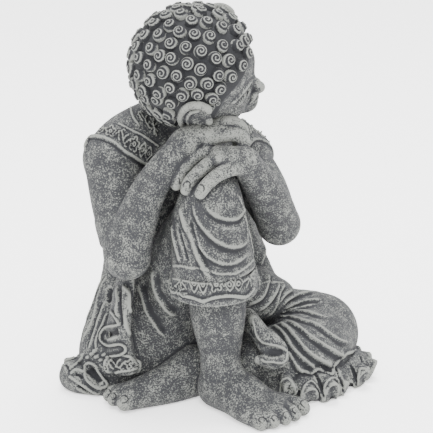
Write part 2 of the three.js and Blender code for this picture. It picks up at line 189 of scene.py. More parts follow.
class Lattice:
    """A block of evenly spaced points. The coarse points are every second fine one."""

    def __init__(self, low, high, voxel):
        self.voxel = voxel
        self.low = np.asarray(low, float)
        self.coarse = (np.ceil((np.asarray(high) - self.low) / (2 * voxel)) + 1).astype(int)
        self.fine = 2 * self.coarse - 1

    def block(self, low, high, margin=7.0):
        step = 2 * self.voxel
        i0 = np.clip(np.floor((low - margin - self.low) / step).astype(int), 0, self.coarse - 2)
        i1 = np.clip(np.ceil((high + margin - self.low) / step).astype(int) + 1, i0 + 2, self.coarse)
        return i0, i1

    def points(self, i0, i1, step=2):
        axes = [self.low[k] + self.voxel * step * np.arange(i0[k], i1[k]) for k in range(3)]
        grid = np.meshgrid(*axes, indexing="ij")
        return np.stack(grid, axis=-1).reshape(-1, 3).astype(np.float32)


def doubled(a):
    """The field at twice the resolution, by cubic interpolation."""
    for axis in range(3):
        a = np.moveaxis(a, axis, 0)
        padded = np.concatenate([a[:1], a, a[-1:]])
        out = np.empty((2 * len(a) - 1, *a.shape[1:]), np.float32)
        out[0::2] = a
        out[1::2] = (9 * (a[:-1] + a[1:]) - padded[:-3] - padded[3:]) / 16
        a = np.moveaxis(out, 0, axis)
    return a


def joined(total, form, part, blend):
    blend = blend if form.blend is None else form.blend
    if form.cuts:
        return -smooth_min(-total, part, blend)
    return smooth_min(total, part, blend)


def node_field(lattice, forms, blend):
    """The joined field of a node's forms, on the fine points of its own block."""
    low = np.min([f.low for f in forms if not f.cuts], axis=0)
    high = np.max([f.high for f in forms if not f.cuts], axis=0)
    i0, i1 = lattice.block(low, high)
    total = np.full(tuple(i1 - i0), FAR, np.float32)
    for form in forms:
        j0, j1 = lattice.block(form.low, form.high)
        j0, j1 = np.maximum(i0, j0), np.minimum(i1, j1)
        if (j1 - j0 < 2).any():
            continue
        area = total[tuple(slice(a, b) for a, b in zip(j0 - i0, j1 - i0))]
        part = form.distance(lattice.points(j0, j1)).reshape(area.shape)
        area[...] = joined(area, form, part, blend)
    return 2 * i0, doubled(total)


def window(array, lo, part):
    return array[tuple(slice(a, a + n) for a, n in zip(lo, part.shape))]


def sculpt(lattice, forms, families, between=1.2, sink=0.5, overlap=1.8):
    """The joined field, each node's share of it as quads, and the nearest node of every point."""
    shape = tuple(lattice.fine)
    whole = np.full(shape, FAR, np.float32)
    nearest = np.full(shape, FAR, np.float32)
    second = np.full(shape, FAR, np.float32)
    owner = np.full(shape, 255, np.uint8)
    fields = {}
    names = []
    for melt, members in families:
        family = np.full(shape, FAR, np.float32)
        for name in members:
            blend, parts = forms[name]
            lo, part = node_field(lattice, parts, blend)
            fields[name] = (lo, part)
            area = window(family, lo, part)
            area[...] = smooth_min(area, part, melt)
            m1, m2, own = (window(a, lo, part) for a in (nearest, second, owner))
            closer = part < m1
            m2[...] = np.where(closer, m1, np.minimum(m2, part))
            m1[...] = np.where(closer, part, m1)
            own[closer] = len(names)
            names.append(name)
        near = family < FAR / 2
        whole[near] = smooth_min(whole[near], family[near], between)
    height = (lattice.low[2] + lattice.voxel * np.arange(shape[2])).astype(np.float32)
    whole = np.maximum(whole, -height)
    pieces = {}
    for index, name in enumerate(names):
        lo, part = fields[name]
        d, m1, m2, own = (window(a, lo, part) for a in (whole, nearest, second, owner))
        others = np.where(own == index, m2, m1)
        lead = 0.5 * (part - others)
        share = np.maximum(d + sink * smooth_step(lead, 0, overlap), lead - overlap)
        pieces[name] = quads_of(share, lattice, lo)
    return whole, pieces, owner, names


def quads_of(field, lattice, lo):
    limit = 3 * lattice.voxel
    grid = openvdb.FloatGrid(limit)
    padded = np.full(tuple(n + 2 for n in field.shape), limit, np.float32)
    padded[1:-1, 1:-1, 1:-1] = np.clip(field, -limit, limit)
    grid.copyFromArray(padded)
    points, quads = grid.convertToQuads(0.0)
    return lattice.low + (points + lo - 1) * lattice.voxel, quads.astype(np.int32)


def sample(field, lattice, p):
    """The field at any points, by linear interpolation."""
    q = np.clip((p - lattice.low) / lattice.voxel, 0, np.array(field.shape) - 1.001)
    i = q.astype(int)
    f = q - i
    total = np.zeros(len(p))
    for corner in np.ndindex(2, 2, 2):
        weight = np.prod(np.where(corner, f, 1 - f), axis=1)
        total += weight * field[tuple((i + corner).T)]
    return total


def slope(field, lattice, p):
    h = lattice.voxel
    g = [sample(field, lattice, p + h * e) - sample(field, lattice, p - h * e) for e in np.eye(3)]
    g = np.stack(g, axis=1)
    return g / np.maximum(np.linalg.norm(g, axis=1, keepdims=True), 1e-6)


def settled(p, field, lattice, rounds=8, stride=4):
    """Points moved to the nearest surface of the field, by no more than a stride in each round."""
    p = np.array(p, float)
    for _ in range(rounds):
        d = np.clip(sample(field, lattice, p), -stride, stride)
        p -= slope(field, lattice, p) * d[:, None]
    return p


def pixel_rays(pixels):
    x = (pixels[:, :1] - PHOTO_WIDTH / 2) / PHOTO_FOCAL
    y = (PHOTO_WIDTH / 2 - pixels[:, 1:]) / PHOTO_FOCAL
    return -BACK + x * RIGHT + y * UP


def seen(pixels, field, lattice, step=0.8, depth=130):
    """The surface points behind pixels of the photograph; those that meet nothing are left out."""
    rays = pixel_rays(np.asarray(pixels, float))
    ways = np.arange(PHOTO_DISTANCE - depth, PHOTO_DISTANCE + depth, step)
    p = EYE + ways[None, :, None] * rays[:, None, :]
    inside = ((p > lattice.low) & (p < lattice.low + (lattice.fine - 1) * lattice.voxel)).all(axis=2)
    d = np.full(inside.shape, FAR)
    d[inside] = sample(field, lattice, p[inside])
    hit = (d < 0).argmax(axis=1)
    rows = np.flatnonzero((d.min(axis=1) < 0) & (hit > 0))
    k = hit[rows]
    after, before = d[rows, k], d[rows, k - 1]
    way = ways[k] - step * after / (after - before)
    return EYE + rays[rows] * way[:, None]


# The head, in its own frame: right, front, up.
HEAD_CENTRE = np.array([-29.0, 14.3, 210.0])
CROWN = unit([-0.588, -0.377, 0.713])
LOOK = unit([0.539, -0.843, 0])
HEAD_RIGHT = unit(np.cross(LOOK, CROWN))
HEAD_AXES = np.array([HEAD_RIGHT, LOOK, CROWN])
SKULL_CENTRE = np.array([0, 1.4, 0])
SKULL_SIZES = np.array([34.3, 36.4, 35.5])
HAIRLINE_HEIGHT = 7.0
HAIRLINE_CURVE = 0.0036
TEMPLE_FRONT = 23.8
TEMPLE_LEAN = 0.55
TEMPLE_SCALE = 1.14


def head(right, front, up):
    return HEAD_CENTRE + np.array([right, front, up]) @ HEAD_AXES


def in_head(p):
    return (p - HEAD_CENTRE) @ HEAD_AXES.T


def head_ball(right, front, up, sizes):
    return Ball(head(right, front, up), sizes, HEAD_AXES)


def head_limb(stations, blend=1.2, across=HEAD_RIGHT, steps=4):
    return soft(Limb([(*head(*s[:3]), *s[3:]) for s in stations], across, steps=steps), blend)


def both(maker):
    """The forms that maker gives for the right side and for the left."""
    return [form for side in (1, -1) for form in maker(side)]


def bare_skin(q):
    """How far points of the head frame lie inside the region without hair."""
    over = HAIRLINE_HEIGHT - HAIRLINE_CURVE * q[:, 0] ** 2 - q[:, 2]
    temple = (q[:, 1] - TEMPLE_LEAN * q[:, 2] - TEMPLE_FRONT) / TEMPLE_SCALE
    return smooth_min(over, temple, 4.0)


class Scalp:
    """The skull under the hair, ending at the hairline."""
    blend = None
    cuts = False

    def __init__(self):
        self.ball = head_ball(*SKULL_CENTRE, SKULL_SIZES)
        self.low, self.high = self.ball.low, self.ball.high

    def distance(self, p):
        return -smooth_min(-self.ball.distance(p), -bare_skin(in_head(p)), 1.0)


def eye(side):
    return [
        cut(head_ball(11.5 * side, 37.2, -8.6, (9, 4.6, 4.6)), 2.5),
        soft(head_ball(11.8 * side, 27.2, -11, (7.8, 6.7, 4.9)), 0.9),
        head_limb([(3.4 * side, 35.6, -7.4, 1.5), (11 * side, 34.6, -3.6, 1.7),
            (20 * side, 29.4, -4.6, 1.4)], 2.0),
        cut(head_limb([(4.6 * side, 32.6, -12.2, 0.5), (8 * side, 33.8, -13.4, 0.65),
            (12.5 * side, 33.7, -14, 0.7), (19.5 * side, 29.6, -12.2, 0.5)]), 0.5),
        cut(head_limb([(5 * side, 34, -8.6, 0.4), (11.5 * side, 34.2, -6.9, 0.5),
            (18.5 * side, 30.6, -8.2, 0.4)]), 0.6),
    ]


def cheek(side):
    return [
        soft(head_ball(14 * side, 21, -19.5, (10, 9.6, 10)), 4),
        soft(head_ball(4.3 * side, 34.6, -20.3, (2.9, 3.6, 2.6)), 1.2),
        cut(head_limb([(8.4 * side, 32.4, -18.5, 0.5), (10.2 * side, 31.4, -23, 0.5)]), 1.6),
    ]


def long_ear(side):
    rim = [(32.8, 18.6, 3.5, 1.9), (34.2, 19.2, 8.5, 2.3), (34.8, 15.2, 12.6, 2.4), (35, 9, 11.4, 2.4),
        (34.6, 3.6, 5.2, 2.3), (33.8, -0.4, -5, 2.3), (32.4, -1.6, -15, 2.2), (31, 0.4, -24, 2.6),
        (30, 4, -30.5, 3.0), (30, 8, -27, 2.4), (31, 10, -19, 2.0)]
    crease = [(34.8, 13.2, 7, 1.2), (34.8, 7, 3, 1.4), (33.8, 3.4, -6, 1.5), (32.4, 3.4, -15, 1.4)]
    return [
        soft(head_ball(31.2 * side, 8.2, -4, (3.4, 9.4, 14.6)), 2),
        soft(head_ball(29.2 * side, 3.8, -21, (2.8, 5.6, 9.6)), 2),
        head_limb([(r * side, f, u, s) for r, f, u, s in rim], 0.9),
        head_limb([(r * side, f, u, s) for r, f, u, s in crease], 0.8),
        soft(head_ball(32.2 * side, 15.8, -8, (2.4, 2.6, 4.2)), 1.0),
        cut(head_ball(36.4 * side, 11.4, -5.5, (3.4, 4.2, 6.2)), 1.2),
    ]


HEAD_FORMS = {
    "ear_right": (2, long_ear(1)),
    "ear_left": (2, long_ear(-1)),
    "face": (4, [
        head_ball(0, 1.0, 0, (33.5, 36.0, 34.8)),
        head_ball(0, 8, -14, (25.5, 27.5, 28)),
        head_ball(0, 20.5, -30, (13, 12.6, 10.5)),
        soft(head_ball(0, 27.5, -35.6, (7.6, 7, 6)), 3),
        *both(cheek),
        *both(eye),
        head_limb([(0, 34.4, -7.2, 2.6), (0, 36.3, -13, 2.9), (0, 38.4, -19, 3.7)], 2.2),
        cut(soft(head_ball(2.3, 37.6, -23.2, (1.2, 1.7, 1)), 0.4), 0.4),
        cut(soft(head_ball(-2.3, 37.6, -23.2, (1.2, 1.7, 1)), 0.4), 0.4),
        head_limb([(-8, 31.4, -27.4, 1.2), (-3.2, 34, -25.9, 1.9), (0, 34.3, -26.5, 1.7),
            (3.2, 34, -25.9, 1.9), (8, 31.4, -27.4, 1.2)], 1.0, CROWN),
        head_limb([(-6.5, 31.6, -29, 1.3), (0, 34.1, -30.3, 2.2), (6.5, 31.6, -29, 1.3)], 1.0, CROWN),
        cut(head_limb([(-8.8, 32.2, -27.1, 0.5), (-4, 35.2, -28.2, 0.6), (0, 36, -28, 0.55),
            (4, 35.2, -28.2, 0.6), (8.8, 32.2, -27.1, 0.5)]), 0.4),
        cut(head_limb([(0, 36.4, -23.2, 0.7), (0, 36, -24.8, 0.6)]), 0.8),
    ]),
    "hair": (1, [Scalp()]),
}
HEAD_FAMILIES = [(1.5, ["ear_right"]), (1.5, ["ear_left"]), (1, ["face"]), (1, ["hair"])]

# Curls of the crown by their pixels in the photograph; the hidden ones are spread evenly after them.
CURL_PIXELS = [
    (178, 5), (188, 6), (197, 8), (210, 6), (225, 8), (165, 15), (156, 15), (180, 13), (191, 20),
    (201, 10), (218, 13), (236, 15), (245, 24), (148, 22), (169, 24), (179, 31), (194, 34), (207, 21),
    (222, 26), (236, 29), (210, 36), (144, 35), (158, 34), (170, 43), (186, 47), (201, 51), (223, 45),
    (239, 45), (249, 38), (136, 47), (150, 48), (159, 56), (171, 58), (187, 64), (201, 69), (216, 58),
    (230, 60), (243, 65), (130, 55), (138, 58), (148, 65), (162, 73), (177, 76), (190, 84), (208, 84),
    (219, 75), (232, 77), (130, 69), (138, 75), (149, 81), (170, 88), (182, 96), (198, 95), (221, 89),
    (134, 84), (143, 91), (158, 94), (213, 99), (171, 104), (156, 100), (145, 98),
]
SMALL_CURL_PIXELS = [(218, 104), (212, 109)]
SMALL_CURL = 0.62
CURL_SPACING = 6.8
CURL_RADIUS = 4.1
CURL_HEIGHT = 4.2
CURL_MIDDLE = 2.5
CURL_DEPTH = 0.42
CURL_WINDINGS = 2.3
CURL_TURN = 2.4
CURL_PAINT = -0.15
# The hidden curls: first an even spread, then more where there is still room between them.
EVEN_SEATS = 230
FILLING_SEATS = 1500
SKULL_RADIUS = 35
CURLS_FROM_SKIN = 3.2
LOWEST_CURL = -31
IN_VIEW = 0.72


def on_skull(q):
    """Points of the head frame moved along rays from its centre to the skull, and the outward directions."""
    r = q - SKULL_CENTRE
    r = r / np.linalg.norm(r / SKULL_SIZES, axis=1, keepdims=True)
    out = r / SKULL_SIZES ** 2
    out /= np.linalg.norm(out, axis=1, keepdims=True)
    return SKULL_CENTRE + r, out


def spread_on_skull(count):
    """Points evenly spread over the skull."""
    k = np.arange(count) + 0.5
    up = 1 - 2 * k / count
    turn = k * math.pi * (3 - math.sqrt(5))
    level = np.sqrt(1 - up * up)
    return on_skull(np.stack([level * np.cos(turn), level * np.sin(turn), up], axis=1) * SKULL_RADIUS)[0]


def over_ear(q):
    """Which points of the head frame lie over an ear."""
    r, f, u = q.T
    return (abs(r) > 26) & (f > -6) & (f < 21) & (u < 17 - 0.04 * (f - 8) ** 2) & (u > -36)


def curl_seats():
    """Where the curls sit on the skull, and their sizes."""
    pixels = np.array(CURL_PIXELS + SMALL_CURL_PIXELS, float)
    rays = pixel_rays(pixels) @ HEAD_AXES.T
    eye_at = in_head(EYE[None])[0]
    reach = SKULL_SIZES + CURL_MIDDLE
    a = ((rays / reach) ** 2).sum(axis=1)
    b = (rays * (eye_at - SKULL_CENTRE) / reach ** 2).sum(axis=1)
    c = (((eye_at - SKULL_CENTRE) / reach) ** 2).sum() - 1
    way = (-b - np.sqrt(np.maximum(b * b - a * c, 0))) / a
    seats, _ = on_skull(eye_at + rays * way[:, None])
    seats = list(seats)
    sizes = [1.0] * len(CURL_PIXELS) + [SMALL_CURL] * len(SMALL_CURL_PIXELS)
    candidates = np.vstack([spread_on_skull(EVEN_SEATS), spread_on_skull(FILLING_SEATS)])
    skin = bare_skin(candidates)
    low = candidates[:, 2] <= LOWEST_CURL
    facing = in_head((HEAD_CENTRE + BACK)[None])[0]
    in_view = (candidates @ facing) / SKULL_RADIUS > IN_VIEW
    free = (skin < -CURLS_FROM_SKIN) & ~over_ear(candidates) & ~low & ~in_view
    for seat in candidates[free]:
        if min(np.linalg.norm(seat - s) for s in seats) > CURL_SPACING:
            seats.append(seat)
            sizes.append(1.0)
    return np.array(seats), np.array(sizes)


def snail(spokes, rings):
    """One curl as a grid round its axis: directions round it, distance out, height, and how raised it is."""
    rho = np.concatenate([[0.02], np.linspace(0.12, 1, rings - 1)])
    theta = 2 * math.pi * np.arange(spokes) / spokes
    out, way = np.meshgrid(rho, theta, indexing="ij")
    wave = np.cos(2 * math.pi * (CURL_WINDINGS * out ** 0.9 - way / (2 * math.pi)))
    calm = smooth_step(out, 0.02, 0.2)
    body = np.maximum(1 - out ** 2.4, 0) ** 0.62
    rise = CURL_HEIGHT * body + CURL_DEPTH * wave * calm * smooth_step(1.02 - out, 0, 0.3)
    radius = CURL_RADIUS * (out ** 0.85 + 0.05 * wave * out)
    rise -= 1.2 * smooth_step(out, 0.9, 1)
    return way, radius, rise, wave * calm


def curl_mesh():
    seats, sizes = curl_seats()
    spokes, rings = ((26, 17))
    way, radius, rise, wave = snail(spokes, rings)
    points, quads, raised = [], [], []
    i, j = np.meshgrid(np.arange(rings - 1), np.arange(spokes), indexing="ij")
    k = (j + 1) % spokes
    grid = np.stack([i * spokes + j, (i + 1) * spokes + j, (i + 1) * spokes + k, i * spokes + k], axis=-1)
    _, outs = on_skull(seats)
    for n, (seat, out, size) in enumerate(zip(seats, outs, sizes)):
        side = unit(np.cross(out, (0.3, 0.2, 1.0)))
        ahead = np.cross(out, side)
        angle = way + CURL_TURN * n
        flat = size * radius
        p = (seat + side * (flat * np.cos(angle))[..., None] + ahead * (flat * np.sin(angle))[..., None]
             + out * (size * rise)[..., None])
        quads.append(grid.reshape(-1, 4) + n * spokes * rings)
        points.append(HEAD_CENTRE + p.reshape(-1, 3) @ HEAD_AXES)
        raised.append(wave.ravel())
    return np.concatenate(points), np.concatenate(quads).astype(np.int32), np.concatenate(raised) + CURL_PAINT


# The body: its joints, in the sculptor's coordinates.
RIGHT_SHOULDER = (-58, 54.4, 144.5)
RIGHT_ELBOW = (-74, 21.5, 98)
RIGHT_WRIST = (-44, 3, 167)
LEFT_SHOULDER = (38.5, 40, 132.5)
LEFT_ELBOW = (16.6, -14.7, 108.5)
LEFT_WRIST = (-21, -25, 157)
RAISED_KNEE = (-34.8, -11.2, 136.8)
FLAT_KNEE = (68, 0, 24)
SIDEWAYS = (1, 0, 0)

# The outer line of the hem on the floor, from the toes of the flat leg round the back to the front.
HEM_LINE = [
    (-68, 38), (-80, 47.5), (-88.5, 61.5), (-86.5, 77), (-70, 90), (-40, 95), (-10, 96), (20, 95),
    (48, 90), (71, 79), (86, 62), (92, 38), (92, 12), (89, -16), (81, -39.5), (66, -50),
    (47, -54.5), (28, -58), (10, -53),
]
PLEAT_PITCH = 15.5
PLEAT_RADIUS = 7.2
PLEAT_WALL = 2.3
MOUTH_REACH = 4
HEM_LENGTH = 422.0
HEM_ROLL = (7, 9.5)
HEM_ROLL_INSIDE = 16


def on_hem(share, inside=0.0):
    """A point of the floor inside the hem line, and the direction along that line."""
    line = smooth_line(HEM_LINE, 24)
    way = np.concatenate([[0], np.cumsum(np.linalg.norm(np.diff(line, axis=0), axis=1))])
    at = share * way[-1] + np.array([-1, 0, 1])
    before, at, ahead = np.stack([np.interp(at, way, line[:, k]) for k in range(2)], axis=1)
    along = unit(ahead - before)
    return at + np.array([along[1], -along[0]]) * inside, along


def pleat(mouth, along, width, height, rear=24, rise=15):
    """A tube of cloth that widens to an open mouth, and the hollow of its mouth."""
    mouth, along = np.array(mouth, float), unit([*along[:2], 0])
    inward = np.array([along[1], -along[0], 0])
    tube = Limb([(*(mouth + inward * rear + (0, 0, rise)), 0.6 * width, 0.45 * height),
                 (*(mouth + inward * 0.5 * rear + (0, 0, 0.42 * rise)), 0.82 * width, 0.7 * height),
                 (*mouth, width, height)], along, (1, 0.3))
    hollow = Limb([(*(mouth + inward * MOUTH_REACH), 0.45 * width, 0.45 * height),
                   (*(mouth - inward * MOUTH_REACH), width - PLEAT_WALL, height - PLEAT_WALL)], along)
    return soft(tube, 1.8), cut(hollow, 1.2)


def hem(start, end, pleats=None, more=(), rolls=(), hollow=True):
    """The roll of cloth between two shares of the hem line, and its pleats, spaced evenly unless given."""
    shares = start + (end - start) * np.arange(13) / 12
    forms = [Limb([(*on_hem(s, HEM_ROLL_INSIDE)[0], *HEM_ROLL) for s in shares], steps=3)]
    if pleats is None:
        count = round(HEM_LENGTH * (end - start) / PLEAT_PITCH)
        pleats = []
        for k in range(count):
            size = PLEAT_RADIUS * (0.95 + 0.09 * math.sin(3.1 * k + 4 * start))
            inside = 6.4 + 0.6 * math.sin(2.3 * k + 9 * start)
            pleats.append((start + (end - start) * (k + 0.5) / count, inside, 4.0, size, size * 1.25))
    made = []
    for share, inside, z, width, height in pleats:
        at, along = on_hem(share, inside)
        made.append(pleat((*at, z), along, width, height))
    made += more
    if not hollow:
        made = [(tube, None) for tube, _ in made]
    return (2.2, forms + list(rolls) + [tube for tube, _ in made] + [dent for _, dent in made if dent])


def fingers(list_of_stations, across=(0, 0, 1), blend=None):
    return [soft(Limb(s, across), blend) for s in list_of_stations]


# The pleats seen in the photograph: share of the hem line, distance inside it, height, half width and
# half height.
FRONT_PLEATS = [
    (0.76, 6, 4, 6.8, 8.8), (0.795, 6, 4, 6.4, 9.2), (0.835, 5, 4, 6.2, 9.5), (0.878, 5, 4, 6.6, 11),
    (0.925, 5.5, 3, 4.6, 7.6), (0.962, 5, 3, 6.4, 12), (0.998, 6, 3, 6.8, 10),
]
RIGHT_PLEATS = [
    (0.122, 6.5, 6, 5.5, 9), (0.152, 5.9, 5, 6.2, 10), (0.19, 5.6, 4, 6.5, 9), (0.226, 5.4, 4, 6.6, 8.8),
]

FORMS = {
    "neck": (3, [Limb([(-11, 44, 156, 19, 18), (-15, 30, 178, 17, 17)], SIDEWAYS)]),
    "right_upper_arm": (4, [
        Limb([(*RIGHT_SHOULDER, 17.3), (-65.4, 40, 122, 16), (*RIGHT_ELBOW, 13.2)], SIDEWAYS),
    ]),
    "right_forearm": (4, [
        Limb([(*RIGHT_ELBOW, 14), (-71, 18.2, 117, 13.6, 12.8), (-61.8, 12.3, 142.5, 11, 10.3),
            (*RIGHT_WRIST, 9.3, 8.5)], (-0.6, -0.8, 0)),
    ]),
    "right_hand": (2, [
        Limb([(*RIGHT_WRIST, 9.5, 8.5), (-36, 2, 171.5, 11.5, 7.5), (-27, -2, 173, 12.5, 7),
            (-20, -6, 172, 11.5, 6.5)], (0.5, 0.86, 0)),
        *fingers([
            [(-35, -5, 169, 5), (-27, -11, 171.6, 4.9), (-20.5, -16, 172, 4.7), (-17.2, -19.2, 168.4, 4.3),
                (-18, -20, 164, 3.8)],
            [(-28, -3, 176, 4.6), (-20, -9.5, 178, 4.5), (-14.6, -14.2, 174.4, 4.3),
                (-13.4, -15.6, 167, 3.8)],
            [(-22, 4, 176.5, 4.6), (-14, -2.5, 177, 4.4), (-8.6, -7, 172, 4.1), (-8, -8, 164, 3.8)],
            [(-19, 10, 174, 4.6), (-11, 5, 173, 4.3), (-5, 1, 168, 4), (-4, 0, 160, 3.7)],
            [(-34, 10, 168, 5), (-24, 16, 166, 4.5), (-15, 16, 161, 4)],
        ], blend=1.0),
    ]),
    "left_upper_arm": (4, [
        Limb([(*LEFT_SHOULDER, 15.9), (30.2, 14.6, 121, 15.2), (*LEFT_ELBOW, 12.4)], SIDEWAYS),
    ]),
    "left_forearm": (4, [
        Limb([(*LEFT_ELBOW, 13), (7, -19, 123, 13.5, 12.5), (-8, -23, 142, 11.5, 10.5),
            (*LEFT_WRIST, 9, 8.5)], (-0.3, -0.95, 0)),
    ]),
    "left_hand": (2, [
        Limb([(*LEFT_WRIST, 9, 8.5), (-27, -22, 159.5, 9.8, 7.2), (-35, -17.5, 161.5, 9.5, 6)],
            (0.45, 0.85, 0.1)),
        *fingers([
            [(-27, -27, 156, 5.2), (-35, -28, 156, 4.6), (-43, -26, 153.4, 4.2), (-49.3, -23, 147.8, 3.9),
                (-52, -20.8, 142.6, 3.5)],
            [(-34, -19, 161, 4.7), (-42, -17, 158.3, 4.3), (-48.5, -13.6, 152.6, 4), (-52, -10, 146.6, 3.8),
                (-53, -8.6, 142.2, 3.4)],
            [(-37, -9, 162.8, 4.5), (-42, -5.5, 160.4, 4.2), (-48, -2.6, 154.6, 4), (-52, -1, 148.6, 3.8),
                (-53.6, -0.4, 143.6, 3.4)],
            [(-36, -1, 162, 4.4), (-43, 4, 158, 4.1), (-49, 7, 151, 3.8), (-51, 8, 145, 3.4)],
        ], blend=0.9),
    ]),
    "right_foot": (2.5, [
        Limb([(-27.6, -9, 10, 13, 12.3), (-27.6, -25, 12, 15.3, 14), (-25.8, -40, 7.8, 18.2, 10),
            (-21.9, -52.2, 5.2, 19.9, 8)], SIDEWAYS),
        *fingers([
            [(-8, -46, 6.4, 5.6), (-4.5, -54, 6, 5.4), (-3, -58.5, 5.2, 4.9)],
            [(-15, -50, 6, 4.5), (-13.8, -59, 6.6, 4.3), (-13.4, -62.6, 4.6, 4)],
            [(-22.5, -51, 5.8, 4.3), (-22, -60, 6.4, 4.2), (-21.8, -63.4, 4.4, 3.8)],
            [(-29.5, -50, 5.4, 4.2), (-30, -58.5, 5.8, 4), (-30, -62, 4.2, 3.7)],
            [(-35.5, -47, 5, 4.1), (-37, -55, 5.2, 3.9), (-37.4, -59, 4, 3.6)],
        ], SIDEWAYS),
    ]),
    "right_shin": (4, [
        Limb([(-30, -14, 16, 13, 13), (-30, -13, 36, 12.5, 13), (-31, -12, 64, 17, 17.5),
            (-32, -10.5, 100, 17, 17)], SIDEWAYS, steps=8),
    ]),
    "knee_drape_border": (1, [
        Limb([(-33, -10.9, 87, 26.6, 25.8), (-32.6, -10.6, 77.5, 27.6, 26.6)], SIDEWAYS, (0.1, 0.1)),
    ]),
    "knee_drape": (2, [
        Limb([(*RAISED_KNEE, 17), (-35, -9.6, 126, 21, 21), (-35, -9.3, 114, 23.2, 23),
            (-33.2, -10.8, 89, 25.8, 25)], SIDEWAYS, (1, 0.1)),
    ]),
    "right_thigh_robe": (4, [
        Limb([(-22, 50, 42, 30), (-25, 31, 74, 25), (-29, 8, 110, 19.5), (*RAISED_KNEE, 15)], SIDEWAYS,
            steps=6),
    ]),
    "left_foot": (3, [
        Limb([(-28, 13.5, 15, 17, 14.2), (-46, 14.5, 11.4, 13.4, 11.7), (-62, 18.2, 9, 10.5, 10.7),
            (-73, 22, 7.4, 8.5, 10.5)], (0, 0, 1)),
        *fingers([
            [(-69, 16.5, 7.5, 5.8), (-77, 16.8, 7, 5.5), (-81, 17, 6, 5)],
            [(-72, 24, 8, 4.6), (-79, 25, 8.6, 4.2), (-83, 25.6, 6, 3.9)],
            [(-70, 31, 8, 4.4), (-77, 32.5, 8, 4), (-80.5, 33.5, 5.6, 3.7)],
        ]),
    ]),
    "shoulder_robe_right": (4, [
        Limb([(-57.5, 55.6, 149, 18.4), (-44.5, 55, 157.2, 18.8), (-27, 50, 165, 18), (-16, 42, 172, 16.7)],
            (0, 1, 0)),
    ]),
    "shoulder_robe_left": (4, [
        Limb([(38, 41, 135.5, 17.8), (26, 44, 145, 18.2), (10, 46, 154, 18), (-4, 42, 162.5, 16.9)],
            (0, 1, 0)),
    ]),
    "torso": (4, [
        Limb([(-5, 55, 84, 50, 33.2), (-8, 54, 118, 49, 31), (-9, 50, 140, 44, 27), (-12, 45, 156, 30, 22)],
            (0.99, -0.12, 0), steps=6),
        soft(Limb([(-54, 60, 133, 7.4), (-59.6, 60, 112, 7.6), (-58.6, 60, 95, 5.6)], SIDEWAYS), 7),
        soft(Limb([(36, 28, 60, 12), (28, 34, 78, 14.5), (23, 38, 98, 14), (20, 41, 114, 11)], SIDEWAYS), 5),
    ]),
    "lap_sash": (4, [
        Limb([(40, 16, 45, 16, 15.5), (21, 12, 54.5, 16.5, 17), (2, 14, 59, 17, 17.5),
            (-10, 18, 57, 14, 15)], (0, 1, 0)),
    ]),
    "cloth_fold": (1.5, [
        Limb([(-4, -8, 50, 7, 6), (-6, -22, 45, 6, 6), (-6, -31, 38, 6.5, 6)], (0.755, -0.656, 0)),
        Limb([(-12, -23, 55, 3.2, 3), (-10.3, -28.6, 47.6, 4.8, 4.4), (-6.7, -33.7, 43.4, 5, 5),
            (-3.2, -37.5, 39.5, 4.2, 4)]),
        Limb([(-14.8, -31.6, 31.6, 3, 2.8), (-9, -36.6, 31.4, 5.6, 4), (-3.4, -39.8, 32.4, 5, 3.8),
            (-1.4, -38.6, 37, 3.2, 3.2)]),
        cut(Limb([(-14.5, -34.5, 38.4, 1.9), (-10, -38.2, 37.2, 2.7), (-5.5, -41.6, 37.2, 2)]), 0.8),
    ]),
    "left_thigh_robe": (4, [
        Limb([(22, 44, 24, 27), (48, 22, 24.5, 25.4), (*FLAT_KNEE, 22.6)], SIDEWAYS),
    ]),
    "left_shin_robe": (4, [
        Limb([(64, -4, 21, 24, 23), (36, -18, 20, 26, 23), (8, -10, 18, 24, 20), (-12, 6, 16, 16, 16)],
            (0, 1, 0)),
    ]),
    "robe_edge": (2, [
        Limb([(-58, 37, 90, 6.7, 4.5), (-63, 37, 76, 9, 5), (-67, 36.5, 60, 11.5, 5.5),
            (-69.5, 36, 44, 13, 6.5), (-68, 34, 22, 14, 7.5)], (0.3, 0.95, 0), (0.6, 0.6)),
        soft(Limb([(-78.5, 37, 24, 2.6, 5), (-72, 31, 25, 2.8, 5.6), (-65.3, 24, 24, 2.6, 4.6)],
            (0.656, 0.755, 0)), 1.0),
    ]),
    "skirt": (4, [
        Limb([(0, 50, 0, 79, 33), (-2, 53, 26, 76.6, 40), (-4, 54, 54, 60, 36.7), (-5, 55, 88, 49.5, 32.7)],
            (0.99, -0.12, 0), (0.3, 1), 6),
    ]),
    "hem_right": hem(0, 0.24, RIGHT_PLEATS, rolls=[
        Limb([(*on_hem(s, 10)[0], 7.5, 9.5, 10) for s in (0, 0.02, 0.04, 0.06, 0.08, 0.1, 0.115)]),
    ]),
    "hem_back": hem(0.245, 0.5),
    "hem_left": hem(0.505, 0.74),
    "hem_front": hem(0.745, 1, FRONT_PLEATS, [pleat((-1, -46, 12), (-0.9, 0.43), 4.6, 5, 16, 8)],
                     hollow=False),
}

# Groups that melt together, with the width of the melt in millimetres.
FAMILIES = [
    (3, ["right_upper_arm", "right_forearm", "right_hand"]),
    (3, ["left_upper_arm", "left_forearm", "left_hand"]),
    (6, ["right_shin", "right_foot"]),
    (3, ["left_foot"]),
    (3, ["neck"]),
    (1.5, ["knee_drape", "knee_drape_border"]),
    (5, ["torso", "skirt", "shoulder_robe_right", "shoulder_robe_left", "right_thigh_robe",
         "left_thigh_robe", "left_shin_robe", "lap_sash", "robe_edge"]),
    (2, ["cloth_fold"]),
    (2, ["hem_right", "hem_back", "hem_left", "hem_front"]),
]

